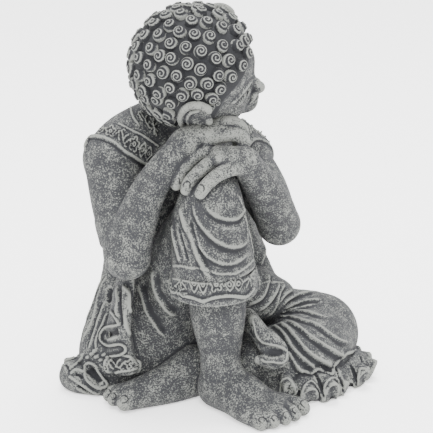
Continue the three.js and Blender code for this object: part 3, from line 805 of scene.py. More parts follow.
body = Lattice((-104, -90, -2), (108, 108, 200), VOXEL)
whole, pieces, owner, owners = sculpt(body, FORMS, FAMILIES)
skull = Lattice((-78, -38, 162), (20, 66, 254), HEAD_VOXEL)
_, head_pieces, _, _ = sculpt(skull, HEAD_FORMS, HEAD_FAMILIES)
pieces.update(head_pieces)


# Meshes. What stands proud is found by comparing the mesh with a smoothed one.
EVENING_SHARES = (0.5, -0.52)
RAISED_ROUNDS = 8
RAISED_SCALE = 0.5
RAISED_FLOOR = 0.06


def sums(keys, values, count):
    return np.stack([np.bincount(keys, values[:, k], count) for k in range(values.shape[1])], axis=1)


def vertex_normals(points, quads):
    a, b, c, d = (points[quads[:, k]] for k in range(4))
    faces = np.cross(c - a, d - b)
    normals = sums(quads.ravel(), np.repeat(faces, 4, axis=0), len(points))
    return normals / np.maximum(np.linalg.norm(normals, axis=1, keepdims=True), 1e-9)


def relaxed(points, quads, rounds):
    """The mesh smoothed by moving each vertex to the middle of its neighbours."""
    ends = np.concatenate([np.stack([quads[:, k], quads[:, (k + 1) % 4]], axis=1) for k in range(4)])
    count = np.bincount(ends[:, 0], minlength=len(points)) + np.bincount(ends[:, 1], minlength=len(points))
    one, other = ends.T
    p = points
    for _ in range(rounds):
        p = (sums(one, p[other], len(p)) + sums(other, p[one], len(p))) / count[:, None]
    return p


def evened(points, quads, rounds):
    """The mesh freed of the lattice's small steps without shrinking: relaxed, then pushed back out."""
    for _ in range(rounds):
        for share in EVENING_SHARES:
            points = points + share * (relaxed(points, quads, 1) - points)
    return points


def refined(points, quads):
    """The mesh with every face cut into four, and its points moved so that the surface grows smooth."""
    n = len(points)
    faces = points[quads].mean(axis=1)
    pairs = np.stack([quads, np.roll(quads, -1, axis=1)], axis=2).reshape(-1, 2).astype(np.int64)
    keys, which = np.unique(pairs.min(axis=1) * n + pairs.max(axis=1), return_inverse=True)
    ends = np.stack([keys // n, keys % n], axis=1)
    around = sums(which, np.repeat(faces, 4, axis=0), len(keys)) / np.bincount(which)[:, None]
    middles = points[ends].mean(axis=1)
    edges = (middles + around) / 2
    valence = np.bincount(quads.ravel(), minlength=n)[:, None]
    f = sums(quads.ravel(), np.repeat(faces, 4, axis=0), n) / valence
    r = sums(ends.ravel(), np.repeat(middles, 2, axis=0), n) / np.bincount(ends.ravel(), minlength=n)[:, None]
    corners = (f + 2 * r + (valence - 3) * points) / valence
    e = n + which.reshape(-1, 4)
    c = n + len(keys) + np.arange(len(quads))
    new = [np.stack([quads[:, i], e[:, i], c, e[:, i - 1]], axis=1) for i in range(4)]
    return np.vstack([corners, edges, faces]), np.concatenate(new).astype(np.int32)


def raised_by(points, quads, spacing):
    """How far each vertex stands proud of the surface round it, from -1 to 1."""
    rounds = round(RAISED_ROUNDS * (VOXEL / spacing) ** 2)
    away = ((points - relaxed(points, quads, rounds)) * vertex_normals(points, quads)).sum(axis=1)
    return np.clip(np.sign(away) * np.maximum(abs(away) - RAISED_FLOOR, 0) / RAISED_SCALE, -1, 1)


# Relief: folds, cloth edges and ornament pressed into the surface. A line is taken to leave a surface
# where neighbouring points lie further apart than LONGEST_GAP.
LONGEST_GAP = 9
# The profile of a fold, in shares of its width and height.
FOLD_BACK = 2.6
FOLD_SWELL = 1.6
FOLD_DROP = 1.25
FOLD_VALLEY = 3.4
FOLD_DEPTH = 0.75
# How far a stroke reaches to each side, in widths, where it isn't one.
STROKE_REACH = {"fold": FOLD_VALLEY, "step": 4.1}
# A stroke fades where the surface turns away from it, and grows lower where it is narrower.
FACING_FADE = (0.1, 0.55)
NARROWING = 0.7


class Stroke:
    """A line along the surface with a profile across it.

    Its path is given in pixels of the photograph or, for hidden sides, in millimetres near the surface.
    spread scales the width at its two ends and ends tells over which shares of its length it fades.
    A fold is a ridge with a valley on its left, as seen from outside, or on its right if side is -1.
    """

    def __init__(self, kind, nodes, width, height, path, spread=(1, 1), ends=(0.15, 0.15), side=1, steps=4):
        self.kind, self.nodes, self.width, self.height = kind, nodes, width, height
        self.path, self.spread, self.ends = np.array(path, float), spread, ends
        self.side, self.steps = side, steps

    def lay(self, field, lattice):
        """Finds the line's points on the surface."""
        if self.path.shape[1] == 2:
            line = seen(smooth_line(self.path, self.steps), field, lattice)
            line = line[[owners[k] in self.nodes for k in owner_at(line)]] if len(line) else line
            jumps = np.flatnonzero(np.linalg.norm(np.diff(line, axis=0), axis=1) > LONGEST_GAP)
            if len(jumps):
                line = line[max(np.split(np.arange(len(line)), jumps + 1), key=len)]
        else:
            line = settled(smooth_line(self.path, self.steps), field, lattice)
        self.line = line
        if len(line) < 2:
            return False
        self.normals = slope(field, lattice, line)
        return True

    def profile(self, x, w):
        """The stroke's height at a distance across it, as a share of its full height."""
        bump = np.clip(1 - (x / w) ** 2, 0, None) ** 2
        if self.kind == "ridge":
            return bump
        if self.kind == "groove":
            return -bump
        if self.kind == "cord":
            return np.clip(1 - (x / w) ** 4, 0, None)
        if self.kind == "fold":
            back = np.clip(1 + x / (FOLD_BACK * w), 0, 1) ** FOLD_SWELL
            drop = 1 - (1 + FOLD_DEPTH) * (1 - np.clip(1 - x / (FOLD_DROP * w), 0, 1) ** 2)
            valley = -FOLD_DEPTH * (1 - smooth_step(x, FOLD_DROP * w, FOLD_VALLEY * w))
            return np.where(x < 0, back, np.where(x < FOLD_DROP * w, drop, valley))
        if self.kind == "step":
            return np.where(x < 0, smooth_step(x, -4 * w, -0.2 * w), smooth_step(-x, -0.7 * w, 0))
        raise ValueError(self.kind)

    def press(self, points, normals, shift):
        """Adds the stroke's height at every point to shift."""
        reach = STROKE_REACH.get(self.kind, 1.0) * self.width * max(self.spread)
        low, high = self.line.min(axis=0) - reach, self.line.max(axis=0) + reach
        near = np.flatnonzero(((points > low) & (points < high)).all(axis=1))
        if not len(near):
            return
        p = points[near]
        best = np.full(len(p), reach ** 2)
        across, place, facing = np.zeros(len(p)), np.zeros(len(p)), np.zeros(len(p))
        way = np.concatenate([[0], np.cumsum(np.linalg.norm(np.diff(self.line, axis=0), axis=1))])
        for k in range(len(self.line) - 1):
            a, along = self.line[k], self.line[k + 1] - self.line[k]
            length = np.linalg.norm(along)
            if length < 1e-6:
                continue
            t = np.clip((p - a) @ along / length ** 2, 0, 1)
            off = p - a - t[:, None] * along
            d = (off ** 2).sum(axis=1)
            closer = d < best
            best[closer] = d[closer]
            left = unit(np.cross(self.normals[k], along))
            across[closer] = (off[closer] @ left) * self.side
            place[closer] = (way[k] + t[closer] * length) / way[-1]
            facing[closer] = normals[near[closer]] @ self.normals[k]
        x = np.copysign(np.sqrt(best), across)
        w = self.width * (self.spread[0] + (self.spread[1] - self.spread[0]) * place)
        fade = smooth_step(facing, *FACING_FADE)
        if self.ends[0]:
            fade = fade * smooth_step(place, 0, self.ends[0])
        if self.ends[1]:
            fade = fade * smooth_step(1 - place, 0, self.ends[1])
        size = self.height * (w / self.width) ** NARROWING
        value = np.where(best < reach ** 2, self.profile(x, w) * size * fade, 0)
        shift[near] += value


def owner_at(p):
    """The number of the piece nearest to each point."""
    if not len(p):
        return []
    i = np.clip(np.round((p - body.low) / body.voxel).astype(int), 0, np.array(owner.shape) - 1)
    return np.minimum(owner[tuple(i.T)], len(owners) - 1)


fold, ridge, groove, cord = (partial(Stroke, kind) for kind in ("fold", "ridge", "groove", "cord"))
rim_step = partial(Stroke, "step")
KNEE = ["knee_drape", "knee_drape_border"]
BORDER = ["knee_drape_border"]
SLEEVE = ["shoulder_robe_right", "right_upper_arm", "torso"]
LEFT_SLEEVE = ["shoulder_robe_left", "left_upper_arm", "torso"]
HIP = ["skirt", "right_thigh_robe", "robe_edge", "hem_right", "torso"]
THIGH = ["left_thigh_robe", "left_shin_robe", "lap_sash", "hem_front", "hem_left", "skirt"]
LEAF = ["cloth_fold"]
FLAT = (0, 0)


def strokes(make, nodes, rows, **how):
    """Strokes of one kind, each from a row of its width, its height and the points of its path."""
    return [make(nodes, width, height, path, **how) for width, height, *path in rows]


KNOB_PIXELS = [(83, 355), (88, 357.5), (92, 354), (96.5, 357), (101, 360), (95, 351), (104, 355)]
RELIEF = [
    # the drape over the raised knee
    fold(KNEE, 1.7, 1.5, [(201, 196), (204, 203), (209, 211), (215, 216), (223, 219), (232, 220),
        (239, 218), (243, 211), (244, 203)], ends=(0.3, 0.25), side=-1),
    ridge(KNEE, 1.4, 0.9, [(236, 192), (240, 200), (243, 210), (246, 222), (247, 234), (247, 243)]),
    fold(KNEE, 2.1, 1.9, [(191, 197), (193, 206), (195, 214), (199, 223), (206, 232), (213, 239),
        (221, 244), (229, 247), (238, 247), (246, 243), (250, 235), (251, 226)], ends=(0.25, 0.25),
        side=-1),
    fold(KNEE, 1.6, 1.0, [(188, 215), (192, 232), (199, 247), (208, 257), (219, 263), (231, 264),
        (243, 259), (251, 249)], ends=(0.3, 0.3), side=-1),
    ridge(KNEE, 3.0, 2.0, [(180, 205), (183, 217), (186, 227), (191, 237), (194, 245), (198, 255),
        (203, 266), (208, 275), (214, 286)], ends=(0.1, 0.2)),
    *strokes(groove, KNEE, [
        (1.6, 1.1, (189, 217), (193, 232), (198, 247), (204, 261), (209, 268)),
        (1.6, 1.2, (178, 226), (182, 241), (186, 254), (188, 263)),
    ]),
    *strokes(ridge, KNEE, [
        (2.4, 1.6, (173, 222), (174, 235), (176, 245), (179, 256), (181, 265)),
        (1.3, 0.9, (247, 226), (250, 238), (252, 249), (255, 259)),
    ]),
    cord(KNEE, 0.9, 0.7, [(171, 266), (182, 266), (191, 268), (199, 268), (207, 269), (213, 272),
        (221, 274), (227, 274), (236, 273), (243, 269), (248, 265), (255, 258)], ends=FLAT),
    cord(BORDER, 1.3, 1.1, [(170, 291), (179, 293), (186, 296), (194, 298), (203, 301), (209, 299),
        (217, 297), (225, 296), (234, 296), (243, 297), (248, 295), (253, 289)], ends=FLAT),
    # the sleeve
    rim_step(SLEEVE, 1.3, 1.5, [(84, 156), (86, 150), (87, 145), (90, 139), (95, 138), (102, 139),
        (108, 141), (114, 144), (119, 148), (125, 153), (132, 157), (138, 161), (146, 165), (152, 168)],
        ends=(0.15, 0), side=-1),
    *strokes(cord, SLEEVE, [
        (0.8, 0.5, (86, 147), (90, 138), (95, 136.5), (102, 137.5), (108, 139.5), (114, 142.5),
            (119, 146.5), (125, 151.5), (132, 155.5), (138, 159.5), (146, 163.5)),
        (0.8, 0.8, (119, 124), (127, 128), (135, 132), (142, 135), (151, 141), (158, 146)),
        (0.8, 0.8, (131, 103), (131, 109), (133, 117), (138, 124)),
    ], ends=FLAT),
    # the robe over the right hip
    *strokes(fold, HIP, [
        (2.2, 1.5, (122, 284), (129, 292), (130, 300), (130, 308), (133.5, 320), (138, 330.5), (147, 340),
            (152, 346)),
        (2.4, 1.8, (138, 277), (140, 288), (143.5, 299.5), (147, 312), (152.5, 320.5), (159, 330.5),
            (166, 338)),
        (2.6, 1.9, (153, 268), (154.7, 286), (158, 296), (163.5, 305), (170, 312), (179, 316)),
    ]),
    ridge(HIP, 2.0, 0.8, [(125, 308), (126, 324), (131, 336), (138, 346)]),
    # the wavy edge of the robe, with the hollows of its loops
    groove(HIP, 3.4, 2.2, [(111, 287), (109, 296), (112, 305), (115, 312)], ends=(0.2, 0.2)),
    groove(HIP, 3.4, 3.4, [(119, 331), (112, 333), (106, 335), (104, 337)], ends=(0.1, 0.25)),
    cord(HIP, 0.95, 1.6, [(118, 279), (110, 283), (105.5, 288), (103.5, 295), (107, 306), (113.5, 314),
        (118, 321), (118.5, 325), (108, 327), (102, 332), (100.5, 339), (104, 343), (110, 345.5),
        (120, 344), (125, 347), (124.7, 352), (118, 355), (110, 356)], ends=(0.05, 0.05)),
    ridge(HIP, 1.7, 1.9, [(119, 284), (117.5, 292), (118.5, 301), (117, 310), (119, 319)]),
    groove(HIP, 1.8, 1.2, [(121.5, 285), (120, 300), (121, 316), (122.5, 328)]),
    # the ruffles beside the folded foot
    *strokes(groove, HIP, [
        (3.4, 3.6, (88, 367), (92, 373), (97, 379), (102, 384)),
        (1.7, 2.4, (76, 385), (84, 390.5), (93, 394)),
    ], ends=(0.2, 0.2)),
    cord(HIP, 0.9, 1.4, [(84.7, 370.5), (85.8, 365), (90, 362.8), (95.8, 366), (99, 372.8), (102.5, 378),
        (107, 382.8), (105.8, 386), (99, 388), (91, 384), (85.8, 378), (84.7, 371)], ends=FLAT),
    cord(HIP, 1.0, 1.3, [(69, 376), (78, 382), (87, 388), (96, 393), (106, 394.5)], ends=(0.05, 0.1)),
    groove(HIP, 1.8, 1.8, [(74, 374), (79, 375), (83, 379)], ends=(0.2, 0.2)),
    *strokes(cord, HIP, [
        (1.0, 1.4, (70.5, 375), (74.7, 370.5), (80, 370.5), (84, 373)),
        (1.1, 1.3, (59, 365), (66, 361), (74, 358), (80, 354)),
        (1.1, 1.3, (67, 370), (74, 366), (79, 362), (84, 356)),
    ], ends=(0.1, 0.1)),
    *strokes(cord, HIP, [
        (1.0, 1.1, (112, 374.5), (119, 371.5), (129, 370.3), (138, 367.5)),
        (1.0, 1.0, (105, 358), (111, 356), (120, 355), (130, 357), (136, 364)),
    ], ends=(0.05, 0.05)),
    *[ridge(HIP, 1.5, 1.3, [(x - 1, y), (x + 1, y - 0.5)], ends=FLAT) for x, y in KNOB_PIXELS],
    *strokes(groove, HIP, [
        (1.5, 1.6, (103, 364), (106, 371), (108, 379)),
        (1.3, 1.5, (62, 362), (67, 366), (70, 372)),
    ], ends=(0.2, 0.2)),
    # the curled tip and the rim of the cloth end by the knee
    cord(LEAF, 0.8, 0.8, [(252, 319), (254.5, 326), (256.7, 335), (262, 341.7), (269, 344), (278, 346),
        (285.5, 350), (287, 355), (285, 361), (280, 363), (273, 362), (264.5, 361.5), (260, 358)],
        ends=(0.03, 0.03)),
    # the mouths of the front pleats, and the valleys between them
    *strokes(groove, THIGH, [
        (6.0, 2.2, (311, 388), (312, 396), (313, 406)),
        (5.0, 2.4, (333, 384), (333.5, 391), (334, 402)),
        (3.4, 1.6, (350, 384), (350.5, 390), (351, 396)),
        (4.6, 2.0, (364, 373), (365, 379), (366, 388)),
    ], ends=(0.3, 0)),
    groove(THIGH, 3.0, 2.2, [(287, 384), (288, 389), (289, 395)], ends=(0.25, 0.1)),
    *strokes(cord, THIGH, [
        (0.9, 1.0, (300.7, 399), (303, 391), (306, 385), (311.4, 381.4), (317, 387), (321, 393),
            (323.6, 400)),
        (0.9, 1.0, (325, 399), (324.8, 391), (326, 384), (333, 378), (339, 382), (342, 391), (343, 396)),
        (0.8, 0.9, (343.6, 393), (347, 384), (350.7, 380.5), (354.3, 385.7), (356.4, 391)),
        (0.9, 0.9, (357, 389), (358, 380), (359.3, 373), (361.4, 368.6), (367, 370), (372, 377),
            (373, 382)),
        (0.8, 0.9, (280, 391), (281, 384), (284, 379.5), (289, 379), (293, 384), (295.5, 392)),
    ], ends=FLAT),
    *strokes(groove, THIGH, [
        (1.5, 2.0, (324.2, 398), (321, 387), (318, 378), (313, 371)),
        (1.5, 2.0, (343.3, 393), (341, 382), (338, 372), (333, 364)),
        (1.4, 1.8, (357, 390), (356, 380), (353, 370), (349, 362)),
        (1.6, 2.0, (299, 397), (297, 387), (293, 378)),
        (1.2, 1.2, (361, 368), (362, 361), (360, 355)),
    ], ends=(0.1, 0.3)),
    # the nails of the left hand
    *strokes(groove, ["left_hand"], [
        (0.7, 0.7, (196, 190), (196.5, 186.5), (200, 184.5), (203.5, 186.5), (204, 190.5)),
        (0.7, 0.7, (183, 186), (184, 182.5), (187.5, 181.5), (190, 183.5), (190.3, 187.5)),
        (0.7, 0.7, (173.5, 181.5), (175, 178.5), (178, 178), (180, 180), (180, 183.5)),
    ], ends=FLAT),
    # the lines of cloth that fall behind the wavy edge
    *strokes(fold, HIP, [
        (1.7, 1.5, (109, 270), (102.5, 285), (98, 299.5), (94.7, 313), (91, 324), (84.7, 337), (79, 347)),
        (1.4, 1.3, (105, 300), (99, 317), (95.8, 327), (92.5, 337), (88, 351)),
    ], side=-1),
    *strokes(ridge, HIP, [
        (1.4, 1.1, (108, 310), (103.5, 322), (99, 332), (96, 342), (97, 352)),
        (1.4, 1.1, (104, 273), (97, 293), (91, 310), (83, 328), (75, 341)),
    ]),
    # the fan of folds over the left thigh
    *strokes(fold, THIGH, [
        (1.3, 0.9, (278, 307), (285.5, 295), (295.5, 289.5), (306.7, 289.5)),
        (1.5, 1.1, (281, 309), (288, 300.5), (300, 294), (313, 291.7)),
        (1.5, 1.0, (283, 309.5), (295.5, 304), (309, 300.5), (323, 299.5)),
    ], side=-1, spread=(0.7, 1.2)),
    fold(THIGH, 1.4, 0.8, [(284.5, 310), (302, 307), (320, 303)], (0.7, 1.2), (0.15, 0.4), side=-1),
    fold(THIGH, 1.8, 1.2, [(279, 313), (293, 310.5), (306.7, 311.7), (320, 316), (334.5, 318)], (0.6, 1.3),
        (0.1, 0.35), side=-1),
    fold(THIGH, 1.9, 1.3, [(276.7, 316.5), (290, 316.5), (302, 320), (315.5, 324), (327.8, 332.8),
        (340, 340.5), (354, 344)], (0.6, 1.3), (0.1, 0.2), side=-1),
    *strokes(fold, THIGH, [
        (2.2, 1.8, (267.8, 319.5), (279, 318), (290, 321.7), (300, 328), (311, 337), (324.5, 346),
            (337.8, 354), (345, 357)),
        (2.2, 2.0, (262, 321.7), (273, 320.5), (284.5, 326), (293, 335), (301, 345), (309, 353),
            (320, 360.5), (333, 367)),
        (2.1, 1.9, (266.7, 322.8), (277.8, 328), (284.5, 335), (290, 345), (297.8, 354), (306.7, 361.7),
            (317, 369)),
    ], ends=(0.1, 0.1), side=-1, spread=(0.5, 1.2)),
    fold(THIGH, 1.8, 1.5, [(288, 350), (292, 358), (297.8, 368), (303, 373)], (0.7, 1.2), (0.1, 0.1),
        side=-1),
    # swags of the sash between the knee and the lap
    *strokes(fold, THIGH, [
        (1.8, 1.4, (244, 306), (254, 303), (263, 297), (268, 285), (270, 270)),
        (1.8, 1.5, (245, 316), (257, 312), (269, 303), (276, 293), (280, 283)),
    ], side=-1, spread=(1.2, 0.7)),
    fold(THIGH, 1.5, 1.3, [(257, 322), (271, 314), (277, 305), (280, 294), (285, 284)], (0.7, 1), side=-1),
    ridge(THIGH, 1.1, 0.8, [(260, 283), (270, 282), (284, 283)], ends=(0.2, 0.1)),
    # the band where the folds end and the front pleats begin
    cord(THIGH, 1.2, 1.2, [(298, 372), (304, 371), (311, 373), (318, 369), (325, 371), (332, 374),
        (334, 366), (341, 360), (344, 355), (351, 352), (357, 350)], ends=(0.05, 0.05)),
]


def nail(node, tip, ahead, up, radius):
    """The groove round a nail on the end of a finger or toe."""
    tip, ahead, up = np.array(tip, float), unit(ahead), unit(up)
    side = np.cross(ahead, up)
    outline = [(0.62, -0.5), (0.66, 0.1), (0.4, 0.62), (0, 0.74), (-0.4, 0.62), (-0.66, 0.1), (-0.62, -0.5)]
    path = [tip + radius * (0.75 * up + 0.3 * ahead + a * side - b * ahead) for a, b in outline]
    return groove([node], 0.6, 0.6, path, ends=FLAT)


# The other nails: the piece, the directions ahead and up, and each nail's place and radius.
NAILS = [
    ("right_foot", (0, -1, -0.15), (0, -0.5, 1), [
        ((-3, -58.5, 5.6), 4.6), ((-13.4, -62, 5.4), 3.6), ((-21.8, -62.8, 5.2), 3.5),
        ((-30, -61.4, 5), 3.4), ((-37.4, -58.4, 4.6), 3.2),
    ]),
    ("left_foot", (-1, 0.1, 0), (-0.5, -0.5, 1), [
        ((-81, 17, 7), 4.6), ((-82.6, 25.6, 7), 3.6), ((-80, 33.5, 6.4), 3.4),
    ]),
    ("right_hand", (0.3, -0.3, -1), (0.75, -0.66, 0.1), [
        ((-13.6, -15.8, 167.4), 3.6), ((-8, -8, 164.4), 3.5), ((-4, 0, 160.4), 3.4),
    ]),
]
for name, ahead, up, nails in NAILS:
    RELIEF += [nail(name, tip, ahead, up, radius) for tip, radius in nails]

# The hidden sides, in millimetres. The robe's rings: height, middle, half width and half depth.
ROBE_RINGS = np.array([
    (0, 0, 50, 79, 33), (26, -2, 53, 76.6, 40), (54, -4, 54, 60, 36.7), (84, -5, 55, 50, 33),
    (118, -8, 54, 49, 31), (140, -9, 50, 44, 27), (156, -12, 45, 30, 22),
])
BACK_OF_ROBE = ["torso", "skirt", "left_thigh_robe", "shoulder_robe_right", "shoulder_robe_left", "neck"]


def on_robe(turn, z):
    """A point of the robe at a height, turned by degrees from the back towards its left side."""
    middle_x, middle_y, wide, deep = (np.interp(z, ROBE_RINGS[:, 0], ROBE_RINGS[:, k]) for k in range(1, 5))
    turn = math.radians(turn)
    return middle_x + wide * math.sin(turn), middle_y + deep * math.cos(turn), z


def ring_on(centre, along, radius, turns):
    """Points round a limb, turned by degrees from its top towards the left side of the figure."""
    along = unit(along)
    top = unit(np.array([0, 0, 1.0]) - along * along[2])
    left = np.cross(top, along)
    return [np.array(centre) + radius * (math.cos(a) * top + math.sin(a) * left) for a in np.radians(turns)]


# The folds of the back run from the left shoulder to the right hip, each given by its turns and heights.
BACK_FOLDS = [
    [(4, 152), (-14, 138), (-32, 130), (-46, 128)],
    [(14, 150), (-2, 132), (-22, 116), (-44, 110)],
    [(24, 144), (10, 122), (-14, 100), (-43, 90)],
    [(34, 136), (26, 112), (2, 88), (-26, 78)],
    [(44, 124), (38, 100), (18, 78), (-38, 66)],
    [(54, 110), (50, 90), (36, 72), (8, 62)],
    [(64, 96), (60, 80), (50, 68)],
]
for k, line in enumerate(BACK_FOLDS):
    path = [on_robe(turn, z) for turn, z in line]
    RELIEF.append(fold(BACK_OF_ROBE, 2.3 + 0.4 * math.sin(2.3 * k), 1.6, path, (0.7, 1.25), (0.35, 0.25)))
# Folds that fall down the skirt, round its back and left side.
for k in range(11):
    turn = -45 + 12.5 * k
    top = 58 + 5 * math.sin(1.9 * k) + 0.14 * turn
    path = [on_robe(0.84 * turn, top), on_robe(0.93 * turn, 44), on_robe(turn, 17)]
    RELIEF.append(fold(BACK_OF_ROBE, 2.2, 1.0, path, (0.6, 1.4), (0.35, 0.05), side=1 if k % 2 else -1))
# Folds over the outside of the left thigh, and down the left side of the trunk.
for k in range(5):
    path = [
        (50 + 3 * k, 66 - 12 * k, 62 - 4 * k),
        (74 + 2 * k, 58 - 14 * k, 44 - 2 * k),
        (92, 52 - 15 * k, 20),
    ]
    RELIEF.append(fold(THIGH, 2.0, 1.2, path, (0.7, 1.3), (0.3, 0.05)))
for k in range(5):
    path = [
        on_robe(88 + 9 * k, 128 - 9 * k),
        on_robe(104 + 8 * k, 106 - 8 * k),
        on_robe(112 + 7 * k, 78 - 3 * k),
    ]
    RELIEF.append(fold(["torso", "skirt"], 2.0, 1.5, path, (0.8, 1.2), (0.25, 0.3)))
# The sleeves' edges, round the left arm and on round the back of the right arm.
LEFT_ARM_WAY = np.array([-8.3, -25.4, -11.5])
LEFT_CUFF = (37.5, 38.2, 131.9)
CUFF_RADIUS = 17
cuff = ring_on(LEFT_CUFF, LEFT_ARM_WAY, CUFF_RADIUS, range(-40, 221, 20))
RELIEF.append(rim_step(LEFT_SLEEVE, 1.3, 1.1, cuff, ends=FLAT, side=-1))
behind_arm = [(-50, 68, 122), (-57, 70, 129), (-64, 69, 135), (-70, 65.5, 138.5)]
RELIEF.append(rim_step(SLEEVE, 1.3, 1.1, behind_arm, ends=(0.2, 0.15), side=-1))


# Ornament, drawn in cells one unit wide and high.
def ring_line(x, y, radius, start=0.0, turns=1.0, end_radius=None, steps=9):
    t = np.linspace(0, 1, steps)
    r = radius + ((radius if end_radius is None else end_radius) - radius) * t
    angle = 2 * math.pi * (start + turns * t)
    return [(x + a * math.cos(b), y + a * math.sin(b)) for a, b in zip(r, angle)]


STAR = [
    [(0.5 + r * math.cos(a), 0.5 + r * math.sin(a)) for r in (0.1, 0.44)]
    for a in np.arange(8) * math.pi / 4
]
BRAID = [
    [(0, 0.5), (0.25, 0.88), (0.5, 0.5), (0.75, 0.12), (1, 0.5)],
    [(0, 0.5), (0.25, 0.12), (0.5, 0.5), (0.75, 0.88), (1, 0.5)],
    ring_line(0.25, 0.5, 0.1),
    ring_line(0.75, 0.5, 0.1),
]
VINE = [
    [(0, 0.5), (0.25, 0.78), (0.5, 0.5), (0.75, 0.22), (1, 0.5)],
    [(0.12, 0.7), (0.2, 0.38), (0.34, 0.24)],
    [(0.3, 0.74), (0.38, 0.9), (0.52, 0.86)],
    [(0.62, 0.34), (0.7, 0.62), (0.86, 0.78)],
    [(0.82, 0.24), (0.9, 0.1), (1.02, 0.16)],
]
FLOWER = [
    ring_line(0.5, 0.5, 0.1),
    *[ring_line(0.5 + 0.27 * math.cos(a), 0.5 + 0.27 * math.sin(a), 0.12, a / (2 * math.pi) - 0.3, 0.6,
                steps=5) for a in np.arange(5) * 2 * math.pi / 5 + 0.4],
    [(0.0, 0.5), (0.08, 0.6), (0.16, 0.52)],
    [(0.86, 0.5), (0.94, 0.4), (1.0, 0.5)],
]


def band(nodes, width, height, first, second, motifs):
    """Ornament between two lines, the upper one first: each motif fills one of the cells along the band."""
    a, b = smooth_line(first, 8), smooth_line(second, 8)

    def along(line, s):
        way = np.concatenate([[0], np.cumsum(np.linalg.norm(np.diff(line, axis=0), axis=1))])
        return np.stack([np.interp(s * way[-1], way, line[:, k]) for k in range(line.shape[1])], axis=-1)

    cords = []
    for cell, motif in enumerate(motifs):
        for line in motif:
            u, v = np.array(line, float).T
            s = (cell + u) / len(motifs)
            path = along(a, s) * v[:, None] + along(b, s) * (1 - v[:, None])
            cords.append(cord(nodes, width, height, path, ends=FLAT, steps=2))
    return cords


def knee_ring(z):
    """A line at a height round the far side of the knee."""
    return [(-31 + 30 * math.sin(a), -12 - 30 * math.cos(a), z) for a in np.linspace(0.7, 4.9, 12)]


# The bands: pieces, width and height of the cords, upper and lower line, and motifs. The lines are in
# pixels of the photograph or, on the hidden sides, in millimetres.
BANDS = [
    (BORDER, 0.62, 0.7,
     [(172, 268), (190, 270), (207, 271), (221, 276), (236, 275), (248, 267), (254, 260)],
     [(173, 289), (190, 294), (204, 297), (221, 293), (236, 293), (248, 290), (256, 280)],
     [STAR, BRAID, FLOWER, BRAID, STAR]),
    (SLEEVE, 0.62, 0.7,
     [(93, 125), (104, 123), (119, 126), (135, 133), (154, 147)],
     [(89, 137), (102, 136), (115, 142), (131, 154), (148, 163)],
     [BRAID, FLOWER, VINE, FLOWER, BRAID]),
    (SLEEVE, 0.62, 0.7,
     [(136, 108), (148, 113), (158, 122)],
     [(140, 122), (150, 130), (158, 141)],
     [VINE, STAR]),
    (LEFT_SLEEVE, 0.65, 0.8,
     ring_on((41, 49, 136.7), LEFT_ARM_WAY, CUFF_RADIUS, range(-40, 161, 20)),
     ring_on((38.4, 41, 133.2), LEFT_ARM_WAY, CUFF_RADIUS, range(-40, 161, 20)),
     [FLOWER, VINE, BRAID] * 2),
    (HIP, 0.7, 0.9,
     [(106, 357), (120, 356), (130, 358), (137, 364)],
     [(109, 373), (119, 371), (129, 370), (138, 368)],
     [VINE, FLOWER]),
    (BORDER, 0.62, 0.7, knee_ring(85), knee_ring(77), [BRAID, FLOWER, STAR] * 3),
]
for row in BANDS:
    RELIEF += band(*row)


# Material. Paint lies where raised height, a broad patch and a fine speckle together are high enough.
STONE_ROUGHNESS = 0.88
SPECKLE_SCALE = 1100
PATCH_SCALE = 160
SPECKLE_BUMP = 0.0005
RAISED_PAINT = 0.3
PATCH_PAINT = 0.38
PAINT_START = 0.685
PAINT_FULL = 0.84
DEEPEST_HOLLOW = -0.6
SHADOW_STONE = (0.005, 0.0055, 0.0075)
BARE_STONE = (0.0145, 0.0152, 0.018)
PAINTED_STONE = (0.155, 0.16, 0.146)
# How much more or less paint than its shape gives a piece has taken.
PAINT_TAKEN = {"hair": -0.8, "right_hand": 0.28, "left_hand": 0.1}


